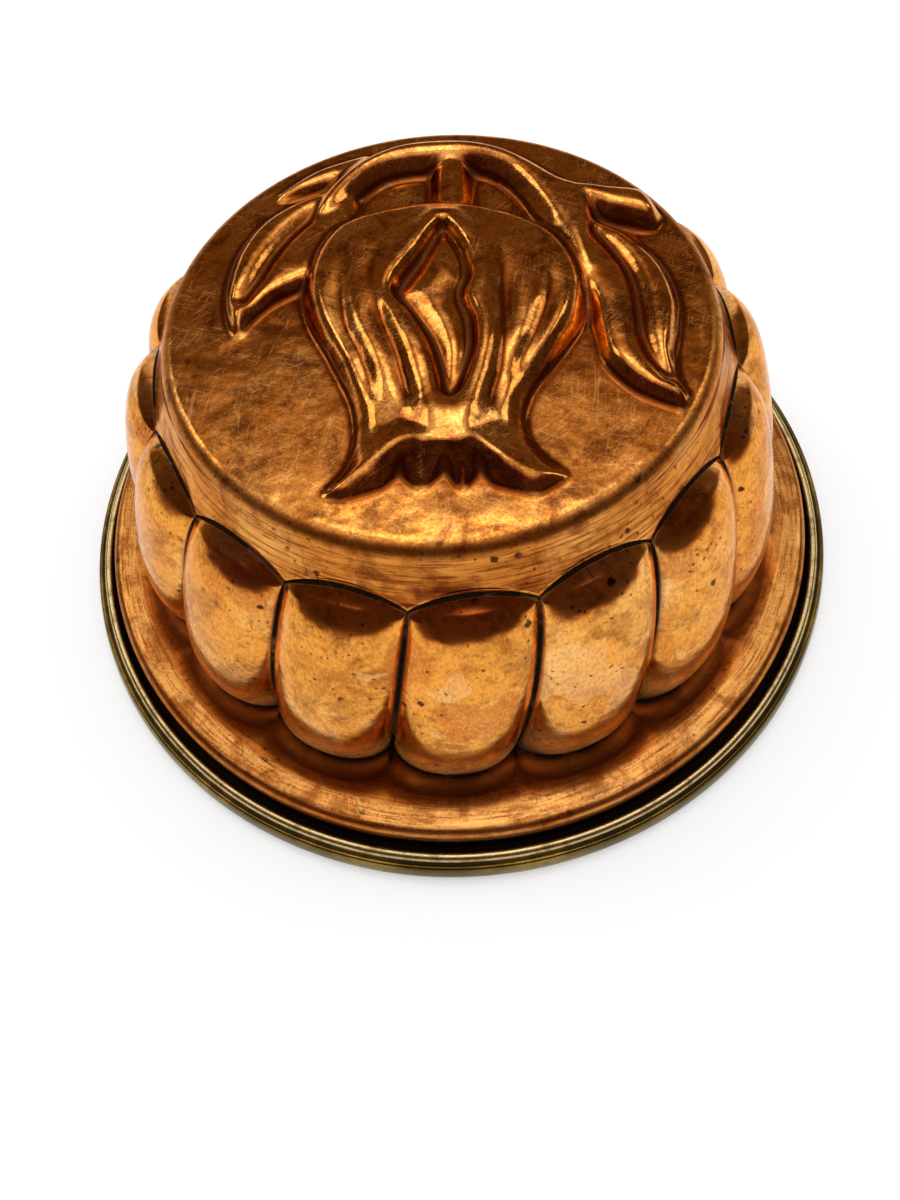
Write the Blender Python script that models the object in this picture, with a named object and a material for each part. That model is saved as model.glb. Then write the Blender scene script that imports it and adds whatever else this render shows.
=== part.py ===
# A copper cake mould. One raised copper sheet makes the crown with its embossed
# pomegranate, the smooth band below it, the leaning lobes of the side and the brim.
# A reeded brass hoop is rolled over an iron wire and clenched on the copper's flange,
# and a run of tin solder seals the joint underneath.
# Metres, +Z up, origin on the table under the centre of the mouth.
import math

import bmesh
import bpy
import numpy as np
from mathutils import Vector
from mathutils.geometry import delaunay_2d_cdt

# Rim, from the outside in and from the table up
RIM_RADIUS = 0.110
HOOP_WIDTH = 0.0055
HOOP_SHEET = 0.0008
REED_HEIGHT = 0.0011
WIRE_RADIUS = 0.00115
CREVICE = 0.0022
FLANGE_SETBACK = 0.0011
SEAT_GAP = 0.0003
SOLDER_DEPTH = 0.0008

# Copper sheet and brim
SHEET = 0.0010
BRIM_WIDTH = 0.0158
BRIM_HEIGHT = 0.0126
BRIM_DISH = 0.0013
BRIM_ROUND = 0.0026

# Lobed side
LOBE_COUNT = 16
LOBE_PHASE = math.radians(-94.8)
LOBE_LEAN = math.radians(-6.0)
LOBE_BULGE = 0.0076
SIDE_RUN = 0.0163
CREASE_RISE = 0.0040
CREASE_DEPTH = 0.0010

# Band and crown
CROWN_HEIGHT = 0.0850
BAND_HEIGHT = 0.0135
BAND_RUN = 0.0058
CROWN_ROUND = 0.0040

# Heights of the relief above the crown
FRUIT_HEIGHT = 0.0070
CALYX_HEIGHT = 0.0064
LEAF_HEIGHT = 0.0034
BRANCH_HEIGHT = 0.0052
TWIG_HEIGHT = 0.0048
WINDOW_DEPTH = 0.0036

# Fineness of the facets
FACETS_PER_LOBE = 5
RELIEF_SPACING = 2.4

# Radii and heights that follow from the sizes above
HOOP_INNER = RIM_RADIUS - HOOP_WIDTH
WALL_RADIUS = HOOP_INNER - CREVICE
FLANGE_BOTTOM = HOOP_SHEET + SEAT_GAP
FLANGE_TOP = FLANGE_BOTTOM + SHEET
FLANGE_EDGE = RIM_RADIUS - HOOP_SHEET - FLANGE_SETBACK
WIRE_HEIGHT = FLANGE_TOP + SEAT_GAP + WIRE_RADIUS
GROOVE_HEIGHT = WIRE_HEIGHT + WIRE_RADIUS + SEAT_GAP + HOOP_SHEET
HOOP_HEIGHT = GROOVE_HEIGHT + REED_HEIGHT
FOOT_RADIUS = WALL_RADIUS - BRIM_WIDTH
FOOT_HEIGHT = BRIM_HEIGHT - 0.2 * BRIM_DISH
CREASE_RADIUS = FOOT_RADIUS - SIDE_RUN
CREASE_HEIGHT = CROWN_HEIGHT - BAND_HEIGHT
CROWN_RADIUS = CREASE_RADIUS - BAND_RUN
FLAT_RADIUS = CROWN_RADIUS - CROWN_ROUND
SIDE_DROP = CREASE_HEIGHT - FOOT_HEIGHT
FACETS = LOBE_COUNT * FACETS_PER_LOBE

# The relief is drawn on a disc of this many units, which is scaled to the flat crown.
# Its +Y end carries the stem, and the calyx points along -Y.
DRAWN_RADIUS = 60.0
DRAWN_UNIT = FLAT_RADIUS / DRAWN_RADIUS


def smooth_curve(points, closed=False, steps=8):
    # A Catmull-Rom curve through the given points.
    pts = np.array(points, float)
    if closed:
        padded = np.vstack([pts[-1], pts, pts[0], pts[1]])
    else:
        padded = np.vstack([2 * pts[0] - pts[1], pts, 2 * pts[-1] - pts[-2]])
    run = []
    for i in range(len(padded) - 3):
        a, b, c, d = padded[i:i + 4]
        for k in range(steps):
            t = k / steps
            run.append(0.5 * (2 * b + (c - a) * t + (2 * a - 5 * b + 4 * c - d) * t ** 2
                              + (3 * b - a - 3 * c + d) * t ** 3))
    if not closed:
        run.append(pts[-1])
    return np.array(run)


def line_distance(where, line):
    # Distance of each point to a polyline, and how far along it the nearest place lies.
    best = np.full(len(where), np.inf)
    along = np.zeros(len(where))
    count = len(line) - 1
    for i in range(count):
        a = line[i]
        side = line[i + 1] - a
        t = np.clip(((where - a) @ side) / max(side @ side, 1e-12), 0, 1)
        gap = np.linalg.norm(where - a - t[:, None] * side, axis=1)
        nearer = gap < best
        best = np.where(nearer, gap, best)
        along = np.where(nearer, (i + t) / count, along)
    return best, along


def inside_distance(where, loop):
    # Distance to a closed outline, positive inside it and negative outside.
    ring = np.vstack([loop, loop[:1]])
    gap, _ = line_distance(where, ring)
    inside = np.zeros(len(where), bool)
    x, y = where[:, 0], where[:, 1]
    for (xa, ya), (xb, yb) in zip(ring[:-1], ring[1:]):
        crosses = (ya > y) != (yb > y)
        rise = yb - ya if yb != ya else 1e-12
        inside ^= crosses & (x < xa + (y - ya) * (xb - xa) / rise)
    return np.where(inside, gap, -gap)


def shoulder(gap, width):
    # Rises from 0 at an outline to 1 at the given distance inside it, rounding over.
    s = np.clip(gap / width, 0, 1)
    return 1 - (1 - s) ** 2


def ramp(value, low, high):
    s = np.clip((value - low) / (high - low), 0, 1)
    return s * s * (3 - 2 * s)


# Outlines of the relief, in drawn units
FRUIT_SIDES = smooth_curve([(-22.5, -50), (-18, -44), (-16.5, -36), (-18, -26.5), (-23, -15), (-29, -3),
                            (-31, 8), (-28.5, 20), (-22.5, 27.5), (-11, 31.5), (0.5, 33), (11, 31),
                            (22, 26), (29.5, 19), (33.5, 8), (32.5, -4), (27.5, -14), (21, -24),
                            (18.5, -33), (21, -40), (27, -46)], steps=4)
CALYX_TEETH = [(20.5, -50.3), (12.5, -47.8), (9.5, -43.6), (6, -49), (2.3, -43.4), (-2.5, -48.6), (-7, -44.4),
               (-11, -48.3), (-18, -50.6)]
FRUIT = np.vstack([FRUIT_SIDES, CALYX_TEETH])
WINDOW = smooth_curve([(1, 22), (-4.5, 11), (-9.3, -0.5), (-5.5, -7), (-2, -14), (0.2, -22), (1.2, -27.2),
                       (3.2, -29.4), (5.5, -27.6), (7, -23), (9, -17), (8.5, -9.5), (6.8, -4), (7.8, 2.5),
                       (6.5, 12)], closed=True, steps=3)
LEFT_LEAF = smooth_curve([(-45, -6), (-48, 0), (-49, 9), (-47.5, 20), (-42.5, 30), (-34.5, 36.5), (-26, 39.5),
                          (-20, 36), (-22, 24), (-26, 12), (-31, 7.5), (-37.5, 3.5), (-42, -1.5)],
                         closed=True, steps=4)
RIGHT_LEAF = smooth_curve([(27, 30), (35, 27.5), (42.5, 22.5), (47.5, 17), (51.5, 10), (53.5, 0), (52.5, -9),
                           (51, -16), (51.5, -23), (53.5, -29.5), (47.5, -28), (41.5, -24), (36.5, -17),
                           (34.8, -8), (33.5, 2), (27, 14), (24, 24)], closed=True, steps=4)
SMALL_LEAF = smooth_curve([(-41, 38.5), (-37.5, 42.5), (-32, 47.5), (-25, 51), (-17, 53), (-16, 45),
                           (-21.5, 42.8), (-27, 42), (-30.5, 40.5), (-35.5, 38.7)], closed=True, steps=3)
BRANCH = smooth_curve([(-31, 27), (-24, 30), (-19.5, 37), (-15, 42), (-9, 44.6), (0, 45.2), (8, 45), (14, 42),
                       (19, 35.5), (23, 27), (27, 18), (32.5, 7), (36.5, 9), (37, 20), (37.5, 29), (36, 37),
                       (30, 41), (23, 47.5), (16, 52.5), (8, 55.5), (-1, 56.2), (-10, 55.2), (-18, 51.5),
                       (-25, 45), (-30, 36)], closed=True, steps=3)
TWIG = smooth_curve([(28, 33), (33, 30), (38, 26.8), (43.5, 24.8), (49.5, 23.2), (52.3, 26), (51.6, 31.5),
                     (48.5, 35.5), (41, 37.2), (33, 38.5)], closed=True, steps=3)

# Lines of the relief, in drawn units
STEM = smooth_curve([(2.6, 45.5), (2.8, 38), (2.6, 29)], steps=3)
LEAF_VEINS = [smooth_curve([(-44.5, 3.5), (-42, 9), (-39, 17), (-34.5, 25), (-29, 31.5), (-24, 36)], steps=4),
              smooth_curve([(36.5, 22), (41.8, 12), (44, 4), (44.5, -4), (44.7, -11), (46.2, -17),
                            (49, -22)], steps=4)]
FRUIT_FOLDS = [smooth_curve([(-20, 20), (-22, 4.5), (-20, -8), (-16.5, -16), (-14, -23),
                             (-11.5, -32)], steps=4),
               smooth_curve([(-12, 20), (-14.5, 6), (-12, -7.5), (-8.5, -17), (-6, -26), (-3.5, -33)], steps=4),
               smooth_curve([(13, 18), (15, 4), (15, -10), (14, -20), (12, -28), (10, -34)], steps=4),
               smooth_curve([(24, 14), (25.5, 2), (22.5, -10), (18.5, -19), (15.5, -28)], steps=4)]
LIPS = [smooth_curve([(-0.5, 24), (-6.5, 12), (-11.8, -0.8), (-8, -9), (-4.3, -17), (-2, -25.5), (-0.6, -32),
                      (0.8, -38.5)], steps=4),
        smooth_curve([(2.5, 24), (9, 13), (10.5, 2), (9.5, -5), (11.5, -12), (11.3, -19), (9.2, -26),
                      (7.2, -32), (5.8, -38.5)], steps=4)]
CALYX_RIDGE = smooth_curve([(-22.5, -50), (-18.3, -47.8), (-12.6, -43.4), (-8, -39.6), (-4.6, -38.6),
                            (-1, -39.8), (3, -40.5), (6, -40), (8.6, -39.2), (11.5, -41.3), (15.5, -44.2),
                            (20.5, -46.8), (27, -46)], steps=3)


def body_height(where, gap):
    # The fruit swells from its outline and sinks to its neck, with folds that fade in from its top.
    down = ramp(where[:, 1], -46, -12)
    body = FRUIT_HEIGHT * (0.64 * shoulder(gap, 4.5) + 0.36 * shoulder(gap, 16)) * (0.38 + 0.62 * down)
    for fold in FRUIT_FOLDS:
        aside, along = line_distance(where, fold)
        deep = 0.2 * FRUIT_HEIGHT * ramp(along, 0, 0.4) * ramp(1 - along, 0, 0.25)
        body = body - deep * np.exp(-(aside / (2.4 - 0.9 * along)) ** 2) * shoulder(gap, 5)
    return body


def lip_height(where):
    # Two lips stand proud round the window and run together at the neck.
    height = np.zeros(len(where))
    for line in LIPS:
        aside, along = line_distance(where, line)
        proud = FRUIT_HEIGHT * (0.14 + 0.32 * ramp(along, 0.6, 1.0))
        height = np.maximum(height, proud * np.exp(-(aside / (2.6 + 1.6 * along)) ** 2))
    return height * (1 - ramp(-where[:, 1], 37, 41))


def calyx_height(where, gap):
    # The calyx flares from the neck to a sharp ridge, and falls from it to a toothed edge.
    off, along = line_distance(where, CALYX_RIDGE)
    crest = CALYX_HEIGHT * np.sin(math.pi * np.clip(along, 0, 1)) ** 0.7
    share = np.clip(gap / np.maximum(gap + off, 1e-6), 0, 1)
    return crest * share ** 0.8 * (1 - ramp(where[:, 1], -37, -29))


def fruit_height(where):
    gap = inside_distance(where, FRUIT)
    window = inside_distance(where, WINDOW)
    height = body_height(where, gap) + lip_height(where) * shoulder(gap, 4)
    height = np.maximum(height, calyx_height(where, gap))
    seeds = 0.42 * FRUIT_HEIGHT * shoulder(window - 1.4, 5.0)
    deep = ramp(window, -0.3, 1.5)
    inside = FRUIT_HEIGHT - WINDOW_DEPTH + seeds
    return np.where(gap > 0, height * (1 - deep) + inside * deep, 0)


def leaf_height(where):
    # Leaves with steep edges, rounded halves and a deep middle vein.
    height = np.zeros(len(where))
    for outline, tall in ((LEFT_LEAF, 1.0), (RIGHT_LEAF, 1.05), (SMALL_LEAF, 0.85)):
        gap = inside_distance(where, outline)
        height = np.maximum(height, LEAF_HEIGHT * tall * (0.7 * shoulder(gap, 2.6) + 0.3 * shoulder(gap, 6)))
    for vein in LEAF_VEINS:
        aside, _ = line_distance(where, vein)
        height = height * (1 - 0.62 * np.exp(-(aside / 2.0) ** 2))
    return height


def stem_height(where):
    # The branch and the cut twig are round over their whole width, and so is the fruit's short stem.
    branch = BRANCH_HEIGHT * shoulder(inside_distance(where, BRANCH), 5.3)
    twig = TWIG_HEIGHT * shoulder(inside_distance(where, TWIG), 4.6)
    aside, _ = line_distance(where, STEM)
    stem = 0.75 * BRANCH_HEIGHT * np.clip(1 - (aside / 5.2) ** 2, 0, 1)
    return blend(blend(branch, twig, 0.0012), stem, 0.0010)


def blend(one, other, reach):
    # The higher of two forms, with a soft fillet where they meet.
    share = np.clip(0.5 + 0.5 * (one - other) / reach, 0, 1)
    soft = other + (one - other) * share + reach * share * (1 - share)
    return np.where(np.minimum(one, other) > 0, soft, np.maximum(one, other))


def relief_height(where):
    where = np.asarray(where, float)
    return np.maximum(blend(leaf_height(where), stem_height(where), 0.0014), fruit_height(where))


def even_points(line, spacing):
    # Points at even steps along a polyline.
    steps = np.linalg.norm(np.diff(line, axis=0), axis=1)
    run = np.concatenate([[0], np.cumsum(steps)])
    count = max(2, round(run[-1] / spacing) + 1)
    marks = np.linspace(0, run[-1], count)
    return np.column_stack([np.interp(marks, run, line[:, i]) for i in (0, 1)])


def closed(loop):
    return np.vstack([loop, loop[:1]])


def inset_loop(loop, inset):
    # An outline moved inwards along its normals, without the stretches that would cross over.
    ahead = np.roll(loop, -1, axis=0) - np.roll(loop, 1, axis=0)
    ahead /= np.linalg.norm(ahead, axis=1)[:, None]
    side = np.column_stack([-ahead[:, 1], ahead[:, 0]]) * inset
    moved = loop + side
    if inside_distance(moved, loop).mean() * inset < 0:
        moved = loop - side
    return moved[np.abs(inside_distance(moved, loop)) > 0.8 * abs(inset)]


def crown_lines():
    # The lines that the crown's facets follow, most important first: the form each belongs to,
    # its points, and whether it closes on itself.
    lines = [(fruit_height, np.vstack([even_points(FRUIT_SIDES, RELIEF_SPACING), CALYX_TEETH]), True)]
    lines.append((fruit_height, even_points(CALYX_RIDGE, RELIEF_SPACING), False))
    lines.append((fruit_height, even_points(closed(WINDOW), RELIEF_SPACING), False))
    for form, outline in ((leaf_height, LEFT_LEAF), (leaf_height, RIGHT_LEAF), (leaf_height, SMALL_LEAF),
                          (stem_height, BRANCH), (stem_height, TWIG)):
        lines.append((form, even_points(closed(outline), RELIEF_SPACING), False))
    for form, outline, inset in ((fruit_height, WINDOW, 1.5), (fruit_height, FRUIT, 2.6),
                                 (leaf_height, LEFT_LEAF, 2.3), (leaf_height, RIGHT_LEAF, 2.3),
                                 (stem_height, BRANCH, 2.6), (stem_height, TWIG, 2.4)):
        lines.append((form, even_points(closed(inset_loop(outline, inset)), RELIEF_SPACING), False))
    for form, line in ([(fruit_height, lip) for lip in LIPS] + [(leaf_height, vein) for vein in LEAF_VEINS]
                       + [(fruit_height, fold) for fold in FRUIT_FOLDS] + [(stem_height, STEM)]):
        lines.append((form, even_points(line, RELIEF_SPACING), False))
    return lines


def crown_points(edge, limit):
    # Points and edges for the crown's facets. A point is left out where another form covers it or
    # where it would crowd the points before it, and a loose lattice fills the rest of the relief.
    points = list(edge)
    edges = [(i, (i + 1) % len(edge)) for i in range(len(edge))]
    for form, line, closes in crown_lines():
        shown = relief_height(line) - form(line) < 0.0004
        last = None
        first = None
        for point, show in zip(line, shown):
            near = np.linalg.norm(np.array(points) - point, axis=1)
            nearest = int(near.argmin())
            if not show or np.linalg.norm(point) > limit:
                last = None
                continue
            if near[nearest] < 0.5 * RELIEF_SPACING:
                index = nearest
            else:
                index = len(points)
                points.append(point)
            if last is not None and last != index:
                edges.append((last, index))
            last = index
            first = index if first is None else first
        if closes and last is not None and last != first:
            edges.append((last, first))
    pitch = 1.6 * RELIEF_SPACING
    rows = math.ceil(limit / pitch) + 1
    lattice = np.array([((i + 0.5 * (j % 2)) * pitch, j * pitch * 0.87)
                        for j in range(-rows, rows + 1) for i in range(-rows, rows + 1)])
    raised = relief_height(lattice) > 0.0003
    for point in lattice[raised]:
        if np.linalg.norm(np.array(points) - point, axis=1).min() > 0.85 * RELIEF_SPACING:
            points.append(point)
    return points, edges


def lobe_wave(t):
    # Cross-section of a lobe between two valleys: steep sides and a broad round front.
    return (1 - abs(2 * t - 1) ** 2.4) ** 0.62


def profile_at(curve, t):
    # Value at t of a smooth curve given by a few (t, value) pairs.
    ts = [p[0] for p in curve]
    dense = smooth_curve(curve, steps=12)
    return float(np.interp(min(max(t, ts[0]), ts[-1]), dense[:, 0], dense[:, 1]))


# Runs of the side in shares of SIDE_RUN, against the share of the drop from the crease to the foot
VALLEY_RUN = [(0.0, -0.03), (0.1, 0.15), (0.2, 0.29), (0.36, 0.46), (0.53, 0.56), (0.7, 0.60), (0.87, 0.58),
              (1.0, 0.54)]
LOBE_SWELL = [(0.0, 0.12), (0.05, 0.44), (0.1, 0.60), (0.2, 0.70), (0.36, 0.83), (0.53, 1.0), (0.7, 1.13),
              (0.82, 1.17), (0.91, 1.12), (0.96, 1.03), (1.0, 0.92)]


def side_point(t, u):
    # Radius and height on the side at share t of its drop and share u across one lobe.
    valley = CREASE_RADIUS + SIDE_RUN * profile_at(VALLEY_RUN, t)
    radius = valley + LOBE_BULGE * profile_at(LOBE_SWELL, t) * lobe_wave(u)
    height = CREASE_HEIGHT - SIDE_DROP * t + arch(u) * max(0.0, 1 - t / 0.4)
    return radius, height


def arch(u):
    # How far the crease rises over the middle of a lobe.
    return CREASE_RISE * 4 * u * (1 - u)


def band_point(height):
    # Radius of the flared band at a height between the crown's corner and the crease.
    share = (CROWN_HEIGHT - CROWN_ROUND - height) / (BAND_HEIGHT - CROWN_ROUND)
    return CROWN_RADIUS + BAND_RUN * (0.85 * share + 0.15 * share ** 2)


def shell_rings():
    # Rings of the copper's outer face from the crown's corner down to the flange. Each ring is
    # (function of the share across a lobe giving radius and height, lean, pull to the valleys).
    rings = []
    for angle in (42, 90):
        a = math.radians(angle)
        radius = FLAT_RADIUS + CROWN_ROUND * math.sin(a)
        height = CROWN_HEIGHT - CROWN_ROUND * (1 - math.cos(a))
        rings.append((lambda u, r=radius, z=height: (r, z), 0.0, 0.0))
    for share in (0.45, 0.93):
        def band(u, share=share):
            top = CROWN_HEIGHT - CROWN_ROUND
            height = top - (top - CREASE_HEIGHT - arch(u)) * share
            return band_point(height), height
        rings.append((band, 0.0, share))
    rings.append((lambda u: (CREASE_RADIUS - CREASE_DEPTH - 0.45 * arch(u), CREASE_HEIGHT + arch(u) - 0.0002),
                  0.0, 1.0))
    for t in (0.04, 0.12, 0.27, 0.5, 0.73, 0.9, 1.0):
        rings.append((lambda u, t=t: side_point(t, u), t, 1.0))
    for share, drop in ((0.28, BRIM_DISH), (0.58, 0.0)):
        def brim(u, share=share, drop=drop):
            foot, _ = side_point(1.0, u)
            return foot + (WALL_RADIUS - foot) * share, BRIM_HEIGHT - drop
        rings.append((brim, 1.0, 1.0 - share))
    for angle in (42, 90):
        a = math.radians(angle)
        radius = WALL_RADIUS - BRIM_ROUND * (1 - math.sin(a))
        height = BRIM_HEIGHT - BRIM_ROUND * (1 - math.cos(a))
        rings.append((lambda u, r=radius, z=height: (r, z), 1.0, 0.0))
    rings.append((lambda u: (WALL_RADIUS, FLANGE_TOP + SHEET), 1.0, 0.0))
    rings.append((lambda u: (WALL_RADIUS + 0.9 * SHEET, FLANGE_TOP), 1.0, 0.0))
    rings.append((lambda u: (FLANGE_EDGE, FLANGE_TOP), 1.0, 0.0))
    return rings


def facet_place(index, pull):
    # Share across its lobe of a facet's corner: even on plain rings, drawn to the valleys on lobes.
    even = (index % FACETS_PER_LOBE) / FACETS_PER_LOBE
    drawn = even - 0.035 * math.sin(4 * math.pi * even)
    return even + (drawn - even) * pull


def ring_corners(ring):
    rule, lean, pull = ring
    corners = []
    for index in range(FACETS):
        u = facet_place(index, pull)
        radius, height = rule(u)
        angle = LOBE_PHASE + LOBE_LEAN * lean + (index // FACETS_PER_LOBE + u) * 2 * math.pi / LOBE_COUNT
        corners.append((radius * math.cos(angle), radius * math.sin(angle), height))
    return corners


def crown_mesh(bm):
    # The flat crown and its relief, inside a ring that starts the revolved part of the sheet.
    edge = [(DRAWN_RADIUS * math.cos(a), DRAWN_RADIUS * math.sin(a))
            for a in (LOBE_PHASE + i * 2 * math.pi / FACETS for i in range(FACETS))]
    points, edges = crown_points(edge, DRAWN_RADIUS - 2.0)
    flat, _, faces, *_ = delaunay_2d_cdt([Vector(p) for p in points], edges, [], 1, 1e-5)
    tall = relief_height(np.array([tuple(p) for p in flat]))
    tall[:FACETS] = 0
    verts = [bm.verts.new((p.x * DRAWN_UNIT, p.y * DRAWN_UNIT, CROWN_HEIGHT + h)) for p, h in zip(flat, tall)]
    for face in faces:
        bm.faces.new([verts[i] for i in face])
    return verts[:FACETS]


def new_object(name, bm, colour, metallic, roughness):
    mesh = bpy.data.meshes.new(name)
    bm.normal_update()
    bm.to_mesh(mesh)
    bm.free()
    obj = bpy.data.objects.new(name, mesh)
    bpy.context.scene.collection.objects.link(obj)
    material = bpy.data.materials.new(name + "_finish")
    material.use_nodes = True
    shader = material.node_tree.nodes["Principled BSDF"]
    shader.inputs["Base Color"].default_value = (*colour, 1.0)
    shader.inputs["Metallic"].default_value = metallic
    shader.inputs["Roughness"].default_value = roughness
    material.diffuse_color = (*colour, 1.0)
    mesh.materials.append(material)
    return obj


def crease(edges, angle):
    # Smooth faces everywhere, with a sharp edge wherever the surface turns by more than the angle.
    for edge in edges:
        for face in edge.link_faces:
            face.smooth = True
        edge.smooth = edge.calc_face_angle(0) < math.radians(angle)


def make_shell():
    # The outer face is drawn, and the sheet gets its even thickness inwards.
    bm = bmesh.new()
    last = crown_mesh(bm)
    for ring in shell_rings():
        row = [bm.verts.new(c) for c in ring_corners(ring)]
        for i in range(FACETS):
            j = (i + 1) % FACETS
            bm.faces.new((last[i], row[i], row[j], last[j]))
        last = row
    bmesh.ops.recalc_face_normals(bm, faces=bm.faces)
    crown = max(bm.faces, key=lambda f: f.calc_center_median().z)
    if crown.normal.z < 0:
        bmesh.ops.reverse_faces(bm, faces=bm.faces)
    crease(bm.edges, 50)
    on_plate = [e for e in bm.edges if all(abs(v.co.z - CROWN_HEIGHT) < 0.0001 for v in e.verts)]
    crease(on_plate, 15)
    obj = new_object("mould_shell", bm, (0.86, 0.42, 0.20), 1.0, 0.26)
    wall = obj.modifiers.new("sheet", "SOLIDIFY")
    wall.thickness = SHEET
    wall.offset = -1.0
    wall.use_even_offset = True
    return obj


def turned_ring(name, section, facets, colour, metallic, roughness):
    # A closed section of (radius, height) pairs, running anticlockwise, spun about the axis.
    bm = bmesh.new()
    rows = []
    for i in range(facets):
        a = LOBE_PHASE + LOBE_LEAN + i * 2 * math.pi / facets
        rows.append([bm.verts.new((r * math.cos(a), r * math.sin(a), z)) for r, z in section])
    for i in range(facets):
        row, following = rows[i], rows[(i + 1) % facets]
        for k in range(len(section)):
            m = (k + 1) % len(section)
            bm.faces.new((row[k], following[k], following[m], row[m]))
    bmesh.ops.recalc_face_normals(bm, faces=bm.faces)
    crease(bm.edges, 40)
    return new_object(name, bm, colour, metallic, roughness)


def hoop_section():
    # Brass strip rolled from an inner lip over two reeds, down the flared outside and back
    # under the copper's flange. Runs are shares of the hoop's width.
    top = HOOP_HEIGHT
    lip = FLANGE_TOP + SEAT_GAP
    reed = REED_HEIGHT
    wide = HOOP_WIDTH
    outer = [(0.09, 0.0), (0.82, 0.0), (0.95, 0.0006), (1.0, 0.0019), (0.86, top - 2.0 * reed),
             (0.72, top - 0.75 * reed), (0.62, top - 0.7 * reed), (0.49, top - reed), (0.36, top - 0.2 * reed),
             (0.16, top), (0.0, top - 0.6 * reed), (0.0, lip)]
    inside = [(HOOP_SHEET / wide, lip), (HOOP_SHEET / wide, GROOVE_HEIGHT - HOOP_SHEET),
              (0.66, GROOVE_HEIGHT - HOOP_SHEET), (0.85, 0.0019), (0.80, HOOP_SHEET), (0.09, HOOP_SHEET)]
    return [(HOOP_INNER + x * wide, z) for x, z in outer + inside]


def make_hoop():
    return turned_ring("rim_hoop", hoop_section(), FACETS, (0.60, 0.48, 0.20), 1.0, 0.28)


def make_wire():
    centre = HOOP_INNER + HOOP_SHEET + SEAT_GAP + WIRE_RADIUS
    section = [(centre + WIRE_RADIUS * math.cos(a), WIRE_HEIGHT + WIRE_RADIUS * math.sin(a))
               for a in (k * math.pi / 3 for k in range(6))]
    return turned_ring("rim_wire", section, FACETS, (0.30, 0.29, 0.28), 1.0, 0.55)


def make_solder():
    # A fillet in the corner between the hoop's lower lip and the underside of the flange's bend.
    outer = HOOP_INNER + 0.09 * HOOP_WIDTH - SEAT_GAP
    top = FLANGE_BOTTOM - SEAT_GAP
    section = [(outer, top - SOLDER_DEPTH + 0.0001), (outer, top), (outer - 0.0013, top),
               (outer - 0.0009, top - 0.0005)]
    return turned_ring("rim_solder", section, FACETS, (0.62, 0.62, 0.60), 1.0, 0.45)


def main():
    for obj in list(bpy.data.objects):
        bpy.data.objects.remove(obj)
    make_shell()
    make_hoop()
    make_wire()
    make_solder()


main()
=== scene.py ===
from math import cos, pi, radians, sin

import bmesh
import bpy
import numpy as np
from mathutils import Matrix, Vector
from mathutils.geometry import delaunay_2d_cdt


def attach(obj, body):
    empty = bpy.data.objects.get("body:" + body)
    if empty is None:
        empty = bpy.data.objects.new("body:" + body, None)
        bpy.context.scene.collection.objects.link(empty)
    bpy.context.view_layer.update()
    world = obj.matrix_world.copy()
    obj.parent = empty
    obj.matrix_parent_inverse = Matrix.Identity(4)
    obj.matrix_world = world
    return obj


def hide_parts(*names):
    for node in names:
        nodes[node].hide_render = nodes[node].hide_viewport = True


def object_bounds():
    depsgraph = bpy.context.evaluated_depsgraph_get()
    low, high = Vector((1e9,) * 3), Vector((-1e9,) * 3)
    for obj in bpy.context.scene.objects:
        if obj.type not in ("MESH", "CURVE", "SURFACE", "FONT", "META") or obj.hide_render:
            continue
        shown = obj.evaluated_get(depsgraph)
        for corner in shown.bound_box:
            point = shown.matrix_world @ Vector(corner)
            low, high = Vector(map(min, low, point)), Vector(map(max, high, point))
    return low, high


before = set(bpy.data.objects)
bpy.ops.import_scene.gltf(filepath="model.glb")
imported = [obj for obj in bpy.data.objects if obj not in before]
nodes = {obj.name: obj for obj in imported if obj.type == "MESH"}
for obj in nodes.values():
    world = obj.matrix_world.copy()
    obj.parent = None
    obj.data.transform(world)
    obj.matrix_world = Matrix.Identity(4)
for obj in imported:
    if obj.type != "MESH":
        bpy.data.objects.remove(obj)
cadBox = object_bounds()
print("frame loaded:", sorted(nodes))


def placed(name, data):  # a new object in the scene
    made = bpy.data.objects.new(name, data)
    bpy.context.scene.collection.objects.link(made)
    return made


def feed(tree, socket, value):
    if isinstance(value, bpy.types.NodeSocket):
        tree.links.new(value, socket)
    elif isinstance(value, Signal):
        tree.links.new(value.socket, socket)
    else:
        socket.default_value = value


def addNode(tree, kind, inputs, **settings):
    node = tree.nodes.new(kind)
    for key, value in settings.items():
        setattr(node, key, value)
    for key, value in inputs.items():
        feed(tree, node.inputs[key], value)
    return node


# Materials are written as expressions: a Signal wraps a socket, and a Board adds the nodes.
class Signal:
    def __init__(self, board, socket):
        self.board = board
        self.socket = socket

    def calc(self, operation, *others):
        return self.board.calc(operation, self, *others)

    def __add__(self, other):
        return self.calc("ADD", other)

    __radd__ = __add__

    def __sub__(self, other):
        return self.calc("SUBTRACT", other)

    def __rsub__(self, other):
        return self.board.calc("SUBTRACT", other, self)

    def __mul__(self, other):
        return self.calc("MULTIPLY", other)

    __rmul__ = __mul__

    def __truediv__(self, other):
        return self.calc("DIVIDE", other)

    def __rtruediv__(self, other):
        return self.board.calc("DIVIDE", other, self)

    def __pow__(self, other):
        return self.calc("POWER", other)

    def __rpow__(self, other):
        return self.board.calc("POWER", other, self)

    def high(self, other):
        return self.calc("MAXIMUM", other)

    def clip(self):
        return self.board.add("ShaderNodeClamp", {0: self})

    def ramp(self, start, end):  # smooth step from 0 at start to 1 at end
        return self.board.add("ShaderNodeMapRange", {0: self, 1: start, 2: end, 3: 0.0, 4: 1.0},
                              interpolation_type="SMOOTHSTEP")


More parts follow.
